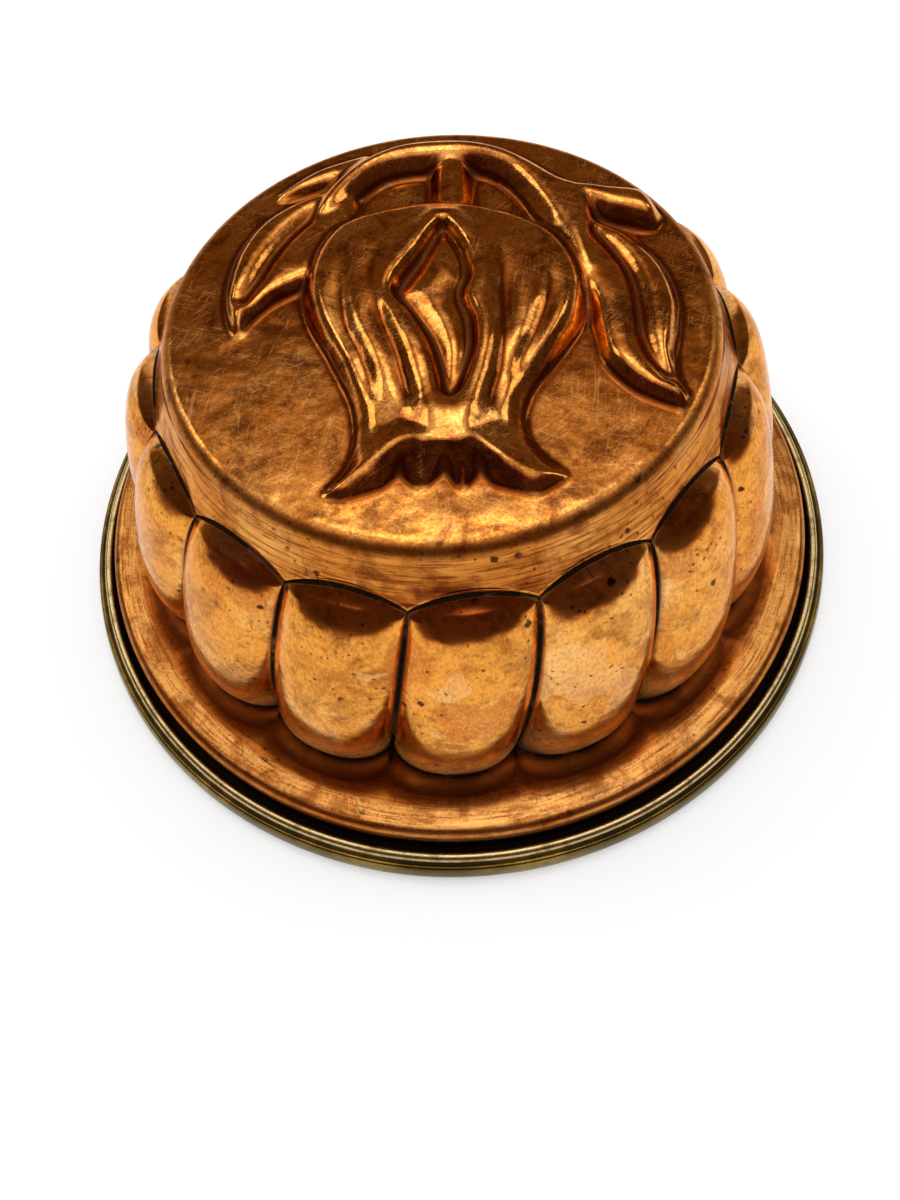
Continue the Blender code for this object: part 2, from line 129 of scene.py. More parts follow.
class Board:
    def __init__(self, name):
        self.material = bpy.data.materials.new(name)
        self.material.use_nodes = True
        self.tree = self.material.node_tree
        self.shader = self.tree.nodes["Principled BSDF"]

    def add(self, kind, inputs, output=0, **settings):
        return Signal(self, addNode(self.tree, kind, inputs, **settings).outputs[output])

    def calc(self, operation, *values):
        return self.add("ShaderNodeMath", dict(enumerate(values)), operation=operation)

    def place(self):
        return self.add("ShaderNodeTexCoord", {}, "Object")

    def mark(self, name):  # a number kept on the mesh's points
        return self.add("ShaderNodeAttribute", {}, "Fac", attribute_name=name)

    def mapped(self, vector, turn=(0, 0, 0), scale=(1, 1, 1), shift=(0, 0, 0)):
        return self.add("ShaderNodeMapping", {"Vector": vector, "Rotation": turn, "Scale": scale,
                                              "Location": shift})

    def split(self, vector):
        return [self.add("ShaderNodeSeparateXYZ", {0: vector}, i) for i in range(3)]

    def join(self, x, y, z):
        return self.add("ShaderNodeCombineXYZ", {0: x, 1: y, 2: z})

    def noise(self, vector, scale, detail=3.0, rough=0.55, warp=0.0, shift=None):
        where = self.mapped(vector, shift=shift) if shift else vector
        return self.add("ShaderNodeTexNoise", {"Vector": where, "Scale": scale, "Detail": detail,
                                               "Roughness": rough, "Distortion": warp})

    def swirled(self, vector, size, reach):  # the same place, pushed about by a slow noise
        push = self.add("ShaderNodeTexNoise", {"Vector": vector, "Scale": size, "Detail": 1.0}, "Color")
        pushed = self.add("ShaderNodeVectorMath", {0: push, "Scale": reach}, operation="SCALE")
        return self.add("ShaderNodeVectorMath", {0: vector, 1: pushed}, operation="ADD")

    def drawnOut(self, vector, turn, length, spacing, shift):  # turned first, then stretched along x
        inputs = {"Vector": vector, "Rotation": (0, 0, turn), "Scale": (length, spacing, spacing),
                  "Location": shift}
        return self.add("ShaderNodeMapping", inputs, vector_type="TEXTURE")

    def hairlines(self, vector, turn, spacing, length, width, shift):
        # Long thin lines: where a noise drawn out along one direction passes its middle value.
        drawn = self.drawnOut(vector, turn, length, spacing, shift)
        offMiddle = (self.noise(drawn, 1.0, detail=1.0) - 0.5).calc("ABSOLUTE")
        return 1 - offMiddle.ramp(width * 0.4, width)

    def scratches(self, vector, turn, spacing, length, width, shift):
        # Short thin lines lying anywhere: the hearts of cells that are drawn out along one direction.
        drawn = self.drawnOut(vector, turn, length, spacing, shift)
        near = self.add("ShaderNodeTexVoronoi", {"Vector": drawn, "Scale": 1.0}, "Distance",
                        voronoi_dimensions="2D")
        return 1 - near.ramp(width * 0.5, width)

    def spots(self, vector, scale, core, edge):  # round dots at the hearts of cells
        near = self.add("ShaderNodeTexVoronoi", {"Vector": vector, "Scale": scale}, "Distance")
        return 1 - near.ramp(core, edge)

    def mix(self, share, one, other):
        return self.add("ShaderNodeMix", {0: share, 6: one, 7: other}, 2, data_type="RGBA")

    def bump(self, height, strength, distance, normal=None):
        inputs = {"Height": height, "Strength": strength, "Distance": distance}
        if normal is not None:
            inputs["Normal"] = normal
        return self.add("ShaderNodeBump", inputs)

    def finish(self, **sockets):
        for name, value in sockets.items():
            feed(self.tree, self.shader.inputs[name.replace("_", " ")], value)
        return self.material


def colour(red, green, blue):
    return (red, green, blue, 1.0)


def painted(board, tone, piece, layers):  # the piece's colours laid over a first one, each by its share
    for share, name in layers:
        tone = board.mix(share, tone, colour(*piece[name]))
    return tone


# The photographed view
cameraView = {"place": (0.01248, -0.15270, 0.23588), "yaw": 6.4, "down": 62.35, "roll": 6.46, "lens": 36.0,
              "film": 36.0, "near": 0.01, "far": 50.0}


def makeCamera():
    yaw, down, roll = (radians(cameraView[k]) for k in ("yaw", "down", "roll"))
    right = Vector((cos(yaw), sin(yaw), 0))
    ahead = Vector((-cos(down) * sin(yaw), cos(down) * cos(yaw), -sin(down)))
    up = right.cross(ahead)
    across = cos(roll) * right - sin(roll) * up
    above = sin(roll) * right + cos(roll) * up
    data = bpy.data.cameras.new("viewCamera")
    data.sensor_fit = "HORIZONTAL"
    data.sensor_width = cameraView["film"]
    data.lens = cameraView["lens"]
    data.clip_start = cameraView["near"]
    data.clip_end = cameraView["far"]
    camera = placed("viewCamera", data)
    camera.matrix_world = Matrix([[across[i], above[i], -ahead[i], cameraView["place"][i]] for i in range(3)]
                                 + [[0, 0, 0, 1]])
    bpy.context.scene.camera = camera


makeCamera()
print("camera placed")


# Curves and distances that the embossing is drawn with
def smoothCurve(points, closed=False, steps=10):  # passes through the points
    pts = np.array(points, float)
    if closed:
        padded = np.vstack([pts[-1], pts, pts[0], pts[1]])
    else:
        padded = np.vstack([2 * pts[0] - pts[1], pts, 2 * pts[-1] - pts[-2]])
    run = []
    for i in range(len(padded) - 3):
        a, b, c, d = padded[i:i + 4]
        for k in range(steps):
            t = k / steps
            run.append(0.5 * (2 * b + (c - a) * t + (2 * a - 5 * b + 4 * c - d) * t ** 2
                              + (3 * b - a - 3 * c + d) * t ** 3))
    if not closed:
        run.append(pts[-1])
    return np.array(run)


def lineDistance(where, line):  # distance to the line, and how far along it the nearest place is
    best = np.full(len(where), np.inf)
    along = np.zeros(len(where))
    count = len(line) - 1
    for i in range(count):
        a = line[i]
        side = line[i + 1] - a
        t = np.clip(((where - a) @ side) / max(side @ side, 1e-12), 0, 1)
        gap = np.hypot(where[:, 0] - a[0] - t * side[0], where[:, 1] - a[1] - t * side[1])
        nearer = gap < best
        best = np.where(nearer, gap, best)
        along = np.where(nearer, (i + t) / count, along)
    return best, along


def insideDistance(where, loop):  # distance to the outline, positive inside
    ring = np.vstack([loop, loop[:1]])
    gap, _ = lineDistance(where, ring)
    inside = np.zeros(len(where), bool)
    x, y = where[:, 0], where[:, 1]
    for (xa, ya), (xb, yb) in zip(ring[:-1], ring[1:]):
        crosses = (ya > y) != (yb > y)
        rise = yb - ya if yb != ya else 1e-12
        inside ^= crosses & (x < xa + (y - ya) * (xb - xa) / rise)
    return np.where(inside, gap, -gap)


def ridge(where, line, width, spread=0.0):  # a soft ridge that is 1 on the line
    aside, along = lineDistance(where, line)
    return np.exp(-(aside / (width + spread * along)) ** 2), along


def shoulder(gap, width):  # rises from 0 at the outline to 1 at this width inside it
    s = np.clip(gap / width, 0, 1)
    return 1 - (1 - s) ** 2


def ramp(value, low, high):
    s = np.clip((value - low) / (high - low), 0, 1)
    return s * s * (3 - 2 * s)


def blend(one, other, reach):  # the higher of two forms, with a soft fillet between
    share = np.clip(0.5 + 0.5 * (one - other) / reach, 0, 1)
    soft = other + (one - other) * share + reach * share * (1 - share)
    return np.where(np.minimum(one, other) > 0, soft, np.maximum(one, other))


# The embossing: heights in metres, widths and outlines in sixtieths of the flat crown's radius
form = {
    "fruit": 0.0070, "fruitEdge": 4.5, "fruitBelly": 16, "edgeShare": 0.64,
    "waist": 0.38, "waistEnds": (-46, -12),
    "foldDepth": 0.20, "foldWidth": (2.4, -0.9), "foldShoulder": 5,
    "lipHeight": (0.15, 0.27), "lipWidth": (2.8, 1.6), "lipEnds": (38, 43), "lipShoulder": 4,
    "neckHeight": 0.40, "neckWidth": 6.4,
    "window": 0.0036, "windowEdge": (-0.3, 1.5),
    "seedHeight": 0.38, "seedWidth": 7.0, "seedTilt": (0.0010, 0.0007),
    "calyx": 0.0064, "calyxEnds": (-38, -26), "calyxReach": 0.0016,
    "leaf": 0.0034, "leafEdge": 2.6, "leafBelly": 6, "leafReach": 0.0014, "veinDepth": 0.62, "veinWidth": 2.0,
    "branch": 0.0052, "branchWidth": 5.3, "twig": 0.0048, "twigWidth": 4.6, "twigReach": 0.0012,
    "stem": 0.75, "stemWidth": 5.2, "stemReach": 0.0010,
}
fruitSides = smoothCurve([
    (-22.5, -50), (-18, -44), (-16.5, -36), (-18, -26.5), (-23, -15), (-29, -3), (-31, 8), (-28.5, 20),
    (-22.5, 27.5), (-11, 31.5), (0.5, 33), (11, 31), (22, 26), (29.5, 19), (33.5, 8), (32.5, -4),
    (27.5, -14), (21, -24), (18.5, -33), (21, -40), (27, -46)])
calyxTeeth = [(20.5, -50.3), (12.5, -47.8), (9.5, -43.6), (6, -49), (2.3, -43.4), (-2.5, -48.6),
              (-7, -44.4), (-11, -48.3), (-18, -50.6)]
fruitOutline = np.vstack([fruitSides, calyxTeeth])
seedWindow = smoothCurve([
    (1, 22), (-4.8, 12), (-10, 1.5), (-6, -6), (-2, -14), (0.2, -22), (1.2, -27.2), (3.2, -29.4),
    (5.5, -27.6), (7.2, -23), (9, -16), (8.6, -8), (6.8, -1), (8, 5), (6.5, 13)], closed=True)
leftLeaf = smoothCurve([
    (-45, -6), (-48, 0), (-49, 9), (-47.5, 20), (-42.5, 30), (-34.5, 36.5), (-26, 39.5), (-20, 36),
    (-22, 24), (-26, 12), (-31, 7.5), (-37.5, 3.5), (-42, -1.5)], closed=True)
rightLeaf = smoothCurve([
    (27, 30), (35, 27.5), (42.5, 22.5), (47.5, 17), (51.5, 10), (53.5, 0), (52.5, -9), (51, -16),
    (51.5, -23), (53.5, -29.5), (47.5, -28), (41.5, -24), (36.5, -17), (34.8, -8), (33.5, 2), (27, 14),
    (24, 24)], closed=True)
smallLeaf = smoothCurve([
    (-41, 38.5), (-37.5, 42.5), (-32, 47.5), (-25, 51), (-17, 53), (-16, 45), (-21.5, 42.8), (-27, 42),
    (-30.5, 40.5), (-35.5, 38.7)], closed=True)
branchOutline = smoothCurve([
    (-31, 27), (-24, 30), (-19.5, 37), (-15, 42), (-9, 44.6), (0, 45.2), (8, 45), (14, 42), (19, 35.5),
    (23, 27), (27, 18), (32.5, 7), (36.5, 9), (37, 20), (37.5, 29), (36, 37), (30, 41), (23, 47.5),
    (16, 52.5), (8, 55.5), (-1, 56.2), (-10, 55.2), (-18, 51.5), (-25, 45), (-30, 36)], closed=True)
twigOutline = smoothCurve([
    (28, 33), (33, 30), (38, 26.8), (43.5, 24.8), (49.5, 23.2), (52.3, 26), (51.6, 31.5), (48.5, 35.5),
    (41, 37.2), (33, 38.5)], closed=True)
stemLine = smoothCurve([(2.6, 45.5), (2.8, 38), (2.6, 29)])
leafVeins = [
    smoothCurve([(-44.5, 3.5), (-42, 9), (-39, 17), (-34.5, 25), (-29, 31.5), (-24, 36)]),
    smoothCurve([(36.5, 22), (41.8, 12), (44, 4), (44.5, -4), (44.7, -11), (46.2, -17), (49, -22)]),
]
fruitFolds = [
    smoothCurve([(-20, 20), (-22, 4.5), (-20, -8), (-16.5, -16), (-14, -23), (-11.5, -32)]),
    smoothCurve([(-12, 20), (-14.5, 6), (-12, -7.5), (-8.5, -17), (-6, -26), (-3.5, -33)]),
    smoothCurve([(13, 18), (15, 4), (15, -10), (14, -20), (12, -28), (10, -34)]),
    smoothCurve([(24, 14), (25.5, 2), (22.5, -10), (18.5, -19), (15.5, -28)]),
]
windowLips = [
    smoothCurve([(-0.5, 24), (-6.8, 13), (-12.5, 1.2), (-8.5, -8), (-4.5, -16.5), (-2, -25.5),
                 (-0.6, -32), (0.8, -38.5)]),
    smoothCurve([(2.5, 24), (9, 14), (10.7, 4.5), (9.5, -2), (11.5, -10), (11.4, -18), (9.2, -26),
                 (7.2, -32), (5.8, -38.5)]),
]
neckLine = smoothCurve([(3.3, -34.5), (3.4, -37), (3.2, -40)])
calyxRidge = smoothCurve([
    (-22.5, -50), (-18.3, -47.8), (-12.6, -43.4), (-8, -39.6), (-4.6, -38.6), (-1, -39.8), (3, -40.5),
    (6, -40), (8.6, -39.2), (11.5, -41.3), (15.5, -44.2), (20.5, -46.8), (27, -46)])


def fruitHeight(where):
    tall = form["fruit"]
    waist = form["waist"]
    gap = insideDistance(where, fruitOutline)
    window = insideDistance(where, seedWindow)
    steep = form["edgeShare"]
    rise = steep * shoulder(gap, form["fruitEdge"]) + (1 - steep) * shoulder(gap, form["fruitBelly"])
    body = tall * rise * (waist + (1 - waist) * ramp(where[:, 1], *form["waistEnds"]))
    for fold in fruitFolds:
        crease, along = ridge(where, fold, *form["foldWidth"])
        deep = form["foldDepth"] * tall * ramp(along, 0, 0.4) * ramp(1 - along, 0, 0.25)
        body = body - deep * crease * shoulder(gap, form["foldShoulder"])

    # the lips beside the window run together in the neck: a sum of cubes hides where they meet
    lips = np.zeros(len(where))
    lipStart, lipMore = form["lipHeight"]
    for line in windowLips:
        lip, along = ridge(where, line, *form["lipWidth"])
        lips = lips + (tall * (lipStart + lipMore * ramp(along, 0.6, 1.0)) * lip) ** 3
    neck, _ = ridge(where, neckLine, form["neckWidth"])
    lips = lips + (form["neckHeight"] * tall * neck) ** 3
    ends = 1 - ramp(-where[:, 1], *form["lipEnds"])
    height = body + np.cbrt(lips) * ends * shoulder(gap, form["lipShoulder"])

    # the calyx rises from the outline to its ridge
    off, along = lineDistance(where, calyxRidge)
    crest = form["calyx"] * np.sin(pi * np.clip(along, 0, 1)) ** 0.7
    share = np.clip(gap / np.maximum(gap + off, 1e-6), 0, 1)
    calyx = crest * share ** 0.8 * (1 - ramp(where[:, 1], *form["calyxEnds"]))
    height = blend(height, calyx, form["calyxReach"])

    # the seeds stand in the sunk window, tilted up and to the right
    tiltUp, tiltRight = form["seedTilt"]
    tilted = tiltUp * np.clip((where[:, 1] + 6) / 18, -1, 1) \
        + tiltRight * np.clip((where[:, 0] - 1) / 6, -1, 1)
    seeds = form["seedHeight"] * tall * shoulder(window - 1.2, form["seedWidth"]) + tilted
    sunk = ramp(window, *form["windowEdge"])
    return np.where(gap > 0, height * (1 - sunk) + (tall - form["window"] + seeds) * sunk, 0)


def leafHeight(where):
    height = np.zeros(len(where))
    for outline, tall in ((leftLeaf, 1.0), (rightLeaf, 1.05), (smallLeaf, 0.85)):
        gap = insideDistance(where, outline)
        rise = 0.7 * shoulder(gap, form["leafEdge"]) + 0.3 * shoulder(gap, form["leafBelly"])
        height = np.maximum(height, form["leaf"] * tall * rise)
    for vein in leafVeins:
        groove, _ = ridge(where, vein, form["veinWidth"])
        height = height * (1 - form["veinDepth"] * groove)
    return height


def stemHeight(where):
    branch = form["branch"] * shoulder(insideDistance(where, branchOutline), form["branchWidth"])
    twig = form["twig"] * shoulder(insideDistance(where, twigOutline), form["twigWidth"])
    aside, _ = lineDistance(where, stemLine)
    arch = np.clip(1 - (aside / form["stemWidth"]) ** 2, 0, 1)
    stem = form["stem"] * form["branch"] * arch
    return blend(blend(branch, twig, form["twigReach"]), stem, form["stemReach"])


def reliefHeight(where):
    plants = blend(leafHeight(where), stemHeight(where), form["leafReach"])
    return np.maximum(plants, fruitHeight(where))


# The copper sheet, in metres: the same sizes as the solid that it stands for
sheet = {
    "thick": 0.0010, "lobes": 16, "firstValley": -94.8, "lean": -6.0, "bulge": 0.0076,
    "crownHeight": 0.0850, "flatRadius": 0.0604, "crownRound": 0.0040, "crownRadius": 0.0644, "crownTurn": 82,
    "bandRun": 0.0058, "bandHollow": 0.15,
    "creaseRadius": 0.0702, "creaseHeight": 0.0715, "creaseRise": 0.0040, "creaseDepth": 0.0010,
    "creaseLean": 0.45, "sideRun": 0.0163, "archEnd": 0.4, "footHeight": 0.01234,
    "brimHeight": 0.0126, "brimDish": 0.0013, "brimRound": 0.0026, "wallRadius": 0.1023, "wallFoot": 0.0062,
    "flangeTop": 0.0021, "flangeRound": 0.0009, "flangeEdge": 0.1080,
    "tighten": 0.62,  # how far the points draw together in the valleys
    "outerMesh": (2, 22, 0.00062), "innerMesh": (1, 11, 0.00125),  # fineness, points on a lobe, pitch
    "softRounds": 5, "steepest": 1.5,
    "marks": {"fineCavity": 3, "nook": 14, "hollow": 60},  # rounds of smoothing: the more, the wider a hollow
}
valleyRun = smoothCurve([
    (0.0, -0.03), (0.1, 0.15), (0.2, 0.29), (0.36, 0.46), (0.53, 0.56), (0.7, 0.60), (0.87, 0.58),
    (1.0, 0.54)])
lobeSwell = smoothCurve([
    (0.0, 0.12), (0.05, 0.44), (0.1, 0.60), (0.2, 0.70), (0.36, 0.83), (0.53, 1.0), (0.7, 1.13),
    (0.82, 1.17), (0.91, 1.12), (0.96, 1.03), (1.0, 0.92)])
dishRun = smoothCurve([
    (0.0, 0.2), (0.08, 0.7), (0.18, 0.98), (0.30, 0.95), (0.42, 0.5), (0.53, 0.12), (0.62, 0.0),
    (0.835, 0.0)])
creaseSteps = [(0.55, 0.0001), (1.0, 0.0003), (0.9, 0.0006)]  # share of the crease's depth, and fall


def creaseArch(u):
    return sheet["creaseRise"] * 4 * u * (1 - u)


def sidePlace(t, u):  # radius and height on the lobed side
    wave = (1 - np.abs(2 * u - 1) ** 2.4) ** 0.62
    radius = sheet["creaseRadius"] + sheet["sideRun"] * np.interp(t, valleyRun[:, 0], valleyRun[:, 1]) \
        + sheet["bulge"] * np.interp(t, lobeSwell[:, 0], lobeSwell[:, 1]) * wave
    drop = sheet["creaseHeight"] - sheet["footHeight"]
    return radius, sheet["creaseHeight"] - drop * t + creaseArch(u) * max(0.0, 1 - t / sheet["archEnd"])


def bend(middle, height, radius, turns):  # radii and heights on a bend, turned from straight up
    return [(middle + radius * sin(a), height + radius * cos(a)) for a in np.radians(turns)]


def sideStations(fine):  # rings from the crown's corner down to the flange's edge
    # each one is a radius and a height, or a rule for them, the lobes' lean, the tightening, and the zone
    stations = []
    cornerTop = sheet["crownHeight"] - sheet["crownRound"]
    turns = np.linspace(0, sheet["crownTurn"], 9 * fine + 1)
    for turn, corner in zip(turns, bend(sheet["flatRadius"], cornerTop, sheet["crownRound"], turns)):
        stations.append((corner, 0.0, 0.0, turn / sheet["crownTurn"]))
    for share in np.linspace(0.10, 0.97, 8 * fine):
        def band(u, share=share):
            height = cornerTop - (cornerTop - sheet["creaseHeight"] - creaseArch(u)) * share
            part = (cornerTop - height) / (cornerTop - sheet["creaseHeight"])
            bow = (1 - sheet["bandHollow"]) * part + sheet["bandHollow"] * part ** 2
            return sheet["crownRadius"] + sheet["bandRun"] * bow, height
        stations.append((band, 0.0, share, 1.0))
    for deep, fall in creaseSteps:
        def crease(u, inward=sheet["creaseDepth"] * deep, fall=fall):
            arch = creaseArch(u)
            return (sheet["creaseRadius"] - inward - sheet["creaseLean"] * arch,
                    sheet["creaseHeight"] + arch - fall)
        stations.append((crease, 0.0, 1.0, 1.5))
    for share in np.linspace(0.0, 1.0, 20 * fine + 1)[1:]:
        down = 0.35 * share ** 2 + 0.65 * share  # closer together at the top
        stations.append((lambda u, down=down: sidePlace(down, u), down, 1.0, 2.0))
    for share in np.linspace(0.04, 0.80, 7 * fine):
        def brim(u, share=share):
            foot, _ = sidePlace(1.0, u)
            drop = sheet["brimDish"] * np.interp(share, dishRun[:, 0], dishRun[:, 1])
            return foot + (sheet["wallRadius"] - foot) * share, sheet["brimHeight"] - drop
        stations.append((brim, 1.0, 1.0 - share, 3.0))
    wall = sheet["wallRadius"]
    wide = sheet["brimRound"]
    turns = np.linspace(4, 90, 5 * fine)
    for turn, edge in zip(turns, bend(wall - wide, sheet["brimHeight"] - wide, wide, turns)):
        stations.append((edge, 1.0, 0.0, 3.0 + 0.6 * turn / 90))
    small = sheet["flangeRound"]
    turned = bend(wall + small, sheet["flangeTop"] + small, small, np.linspace(270, 180, 2 * fine + 1))
    for place in [(wall, sheet["wallFoot"])] + turned + [(sheet["flangeEdge"], sheet["flangeTop"])]:
        stations.append((place, 1.0, 0.0, 4.0))
    return stations


def sideRings(fine, perLobe):  # points of the side, ring by ring, and the rings' zones
    index = np.arange(sheet["lobes"] * perLobe)
    rings = []
    zones = []
    for rule, lean, pull, zone in sideStations(fine):
        even = (index % perLobe) / perLobe
        u = even - pull * sheet["tighten"] * np.sin(2 * pi * even) / (2 * pi)
        radius, height = rule(u) if callable(rule) else rule
        turn = np.radians(sheet["firstValley"] + sheet["lean"] * lean) \
            + (index // perLobe + u) * 2 * pi / sheet["lobes"]
        rings.append(np.column_stack([radius * np.cos(turn), radius * np.sin(turn), height + 0 * u]))
        zones.append(zone)
    return np.array(rings), np.array(zones)


def crownPoints(edge, pitch):  # a triangular lattice inside the crown's edge, and its facets
    limit = sheet["flatRadius"] - 0.55 * pitch
    rowPitch = pitch * 0.866
    rows = int(limit / rowPitch) + 2
    reach = range(-rows, rows + 1)
    grid = np.array([((i + 0.5 * (j % 2)) * pitch, j * rowPitch) for j in reach for i in reach])
    grid = grid[np.hypot(grid[:, 0], grid[:, 1]) < limit]
    flat = np.vstack([edge, grid])
    loop = [(i, (i + 1) % len(edge)) for i in range(len(edge))]
    places, _, faces, *_ = delaunay_2d_cdt([Vector(p) * 1000 for p in flat], loop, [], 1, 1e-6)  # in mm
    flat = np.array([tuple(p) for p in places]) / 1000
    return flat, faces


def crownHeights(flat, edgeCount):
    height = reliefHeight(flat * 60 / sheet["flatRadius"])
    height[:edgeCount] = 0
    return height


def softened(height, faces, edgeCount, rounds):  # pressed sheet has no sharp corners
    corners = np.array(faces)
    a = np.concatenate([corners[:, 0], corners[:, 1], corners[:, 2]])
    b = np.concatenate([corners[:, 1], corners[:, 2], corners[:, 0]])
    total = np.bincount(a, minlength=len(height)) + np.bincount(b, minlength=len(height))
    for _ in range(rounds):
        near = np.bincount(a, height[b], len(height)) + np.bincount(b, height[a], len(height))
        height = 0.4 * height + 0.6 * near / np.maximum(total, 1)
        height[:edgeCount] = height[:edgeCount].mean()
    return height


def makeFace(fine, perLobe, pitch, inset):
    # One face of the sheet. The inner one is the outer one moved in by the sheet's thickness.
    rings, zones = sideRings(fine, perLobe)
    count = rings.shape[1]
    flat, faces = crownPoints(rings[0][:, :2], pitch)
    height = crownHeights(flat, count)
    if inset:
        step = 0.0002
        slopeX, slopeY = ((crownHeights(flat + move, count) - crownHeights(flat - move, count)) / (2 * step)
                          for move in np.eye(2) * step)
        height = height - inset * np.minimum(np.sqrt(1 + slopeX ** 2 + slopeY ** 2), sheet["steepest"])
        down = np.gradient(rings, axis=0)
        around = np.roll(rings, -1, axis=1) - np.roll(rings, 1, axis=1)
        out = np.cross(down, around)
        out /= np.maximum(np.linalg.norm(out, axis=2), 1e-12)[:, :, None]
        out[0] = (0, 0, 1)
        out[-1] = (0, 0, 1)
        rings = rings - out * inset
    height = softened(height, faces, count, sheet["softRounds"] // (3 if inset else 1))
    crown = np.column_stack([flat, sheet["crownHeight"] + height])
    crown[:count] = rings[0]
    points = np.vstack([crown] + list(rings[1:]))
    quads = []
    for k in range(1, len(rings)):
        upper = np.arange(count) if k == 1 else len(crown) + (k - 2) * count + np.arange(count)
        lower = len(crown) + (k - 1) * count + np.arange(count)
        quads.append(np.column_stack([upper, lower, np.roll(lower, -1), np.roll(upper, -1)]))
    allFaces = [tuple(f) for f in faces] + [tuple(q) for q in np.vstack(quads).tolist()]
    return points, allFaces, np.concatenate([np.zeros(len(crown)), np.repeat(zones[1:], count)])


def addMark(mesh, name, values):  # a number for each point, which a finish reads
    mark = mesh.attributes.new(name, "FLOAT", "POINT")
    mark.data.foreach_set("value", np.asarray(values, np.float32))


def joinSheet():
    # Outer face, inner face and the edge between them, as one closed mesh with two material slots.
    outer, outerFaces, outerZones = makeFace(*sheet["outerMesh"], 0.0)
    inner, innerFaces, innerZones = makeFace(*sheet["innerMesh"], sheet["thick"])
    mesh = bpy.data.meshes.new("copperSheet")
    shift = len(outer)
    faces = outerFaces + [tuple(i + shift for i in reversed(f)) for f in innerFaces]
    mesh.from_pydata(np.vstack([outer, inner]).tolist(), [], faces)
    bm = bmesh.new()
    bm.from_mesh(mesh)
    for index, face in enumerate(bm.faces):
        face.material_index = 0 if index < len(outerFaces) else 1
        face.smooth = True
    bmesh.ops.bridge_loops(bm, edges=[e for e in bm.edges if e.is_boundary])
    bm.normal_update()
    top = max(bm.faces, key=lambda f: f.calc_center_median().z)
    if top.normal.z < 0:
        bmesh.ops.reverse_faces(bm, faces=bm.faces)
    bm.to_mesh(mesh)
    bm.free()
    addMark(mesh, "zone", np.concatenate([outerZones, innerZones]))
    return mesh


def readAll(items, field, width, kind=float):  # one row of numbers for each item
    values = np.empty(len(items) * width, kind)
    items.foreach_get(field, values)
    return values.reshape(-1, width)


def cavity(mesh, rounds):  # how far each point lies below its surroundings, in metres
    co = readAll(mesh.vertices, "co", 3)
    a, b = readAll(mesh.edges, "vertices", 2, np.int32).T
    count = len(co)
    weight = 1 / np.maximum(np.linalg.norm(co[a] - co[b], axis=1), 1e-5)
    total = np.bincount(a, weight, count) + np.bincount(b, weight, count)
    soft = co.copy()
    for _ in range(rounds):
        sums = [np.bincount(a, weight * soft[b, k], count) + np.bincount(b, weight * soft[a, k], count)
                for k in range(3)]
        mean = np.column_stack(sums) / total[:, None]
        soft = 0.3 * soft + 0.7 * mean
    return ((soft - co) * readAll(mesh.vertices, "normal", 3)).sum(1)


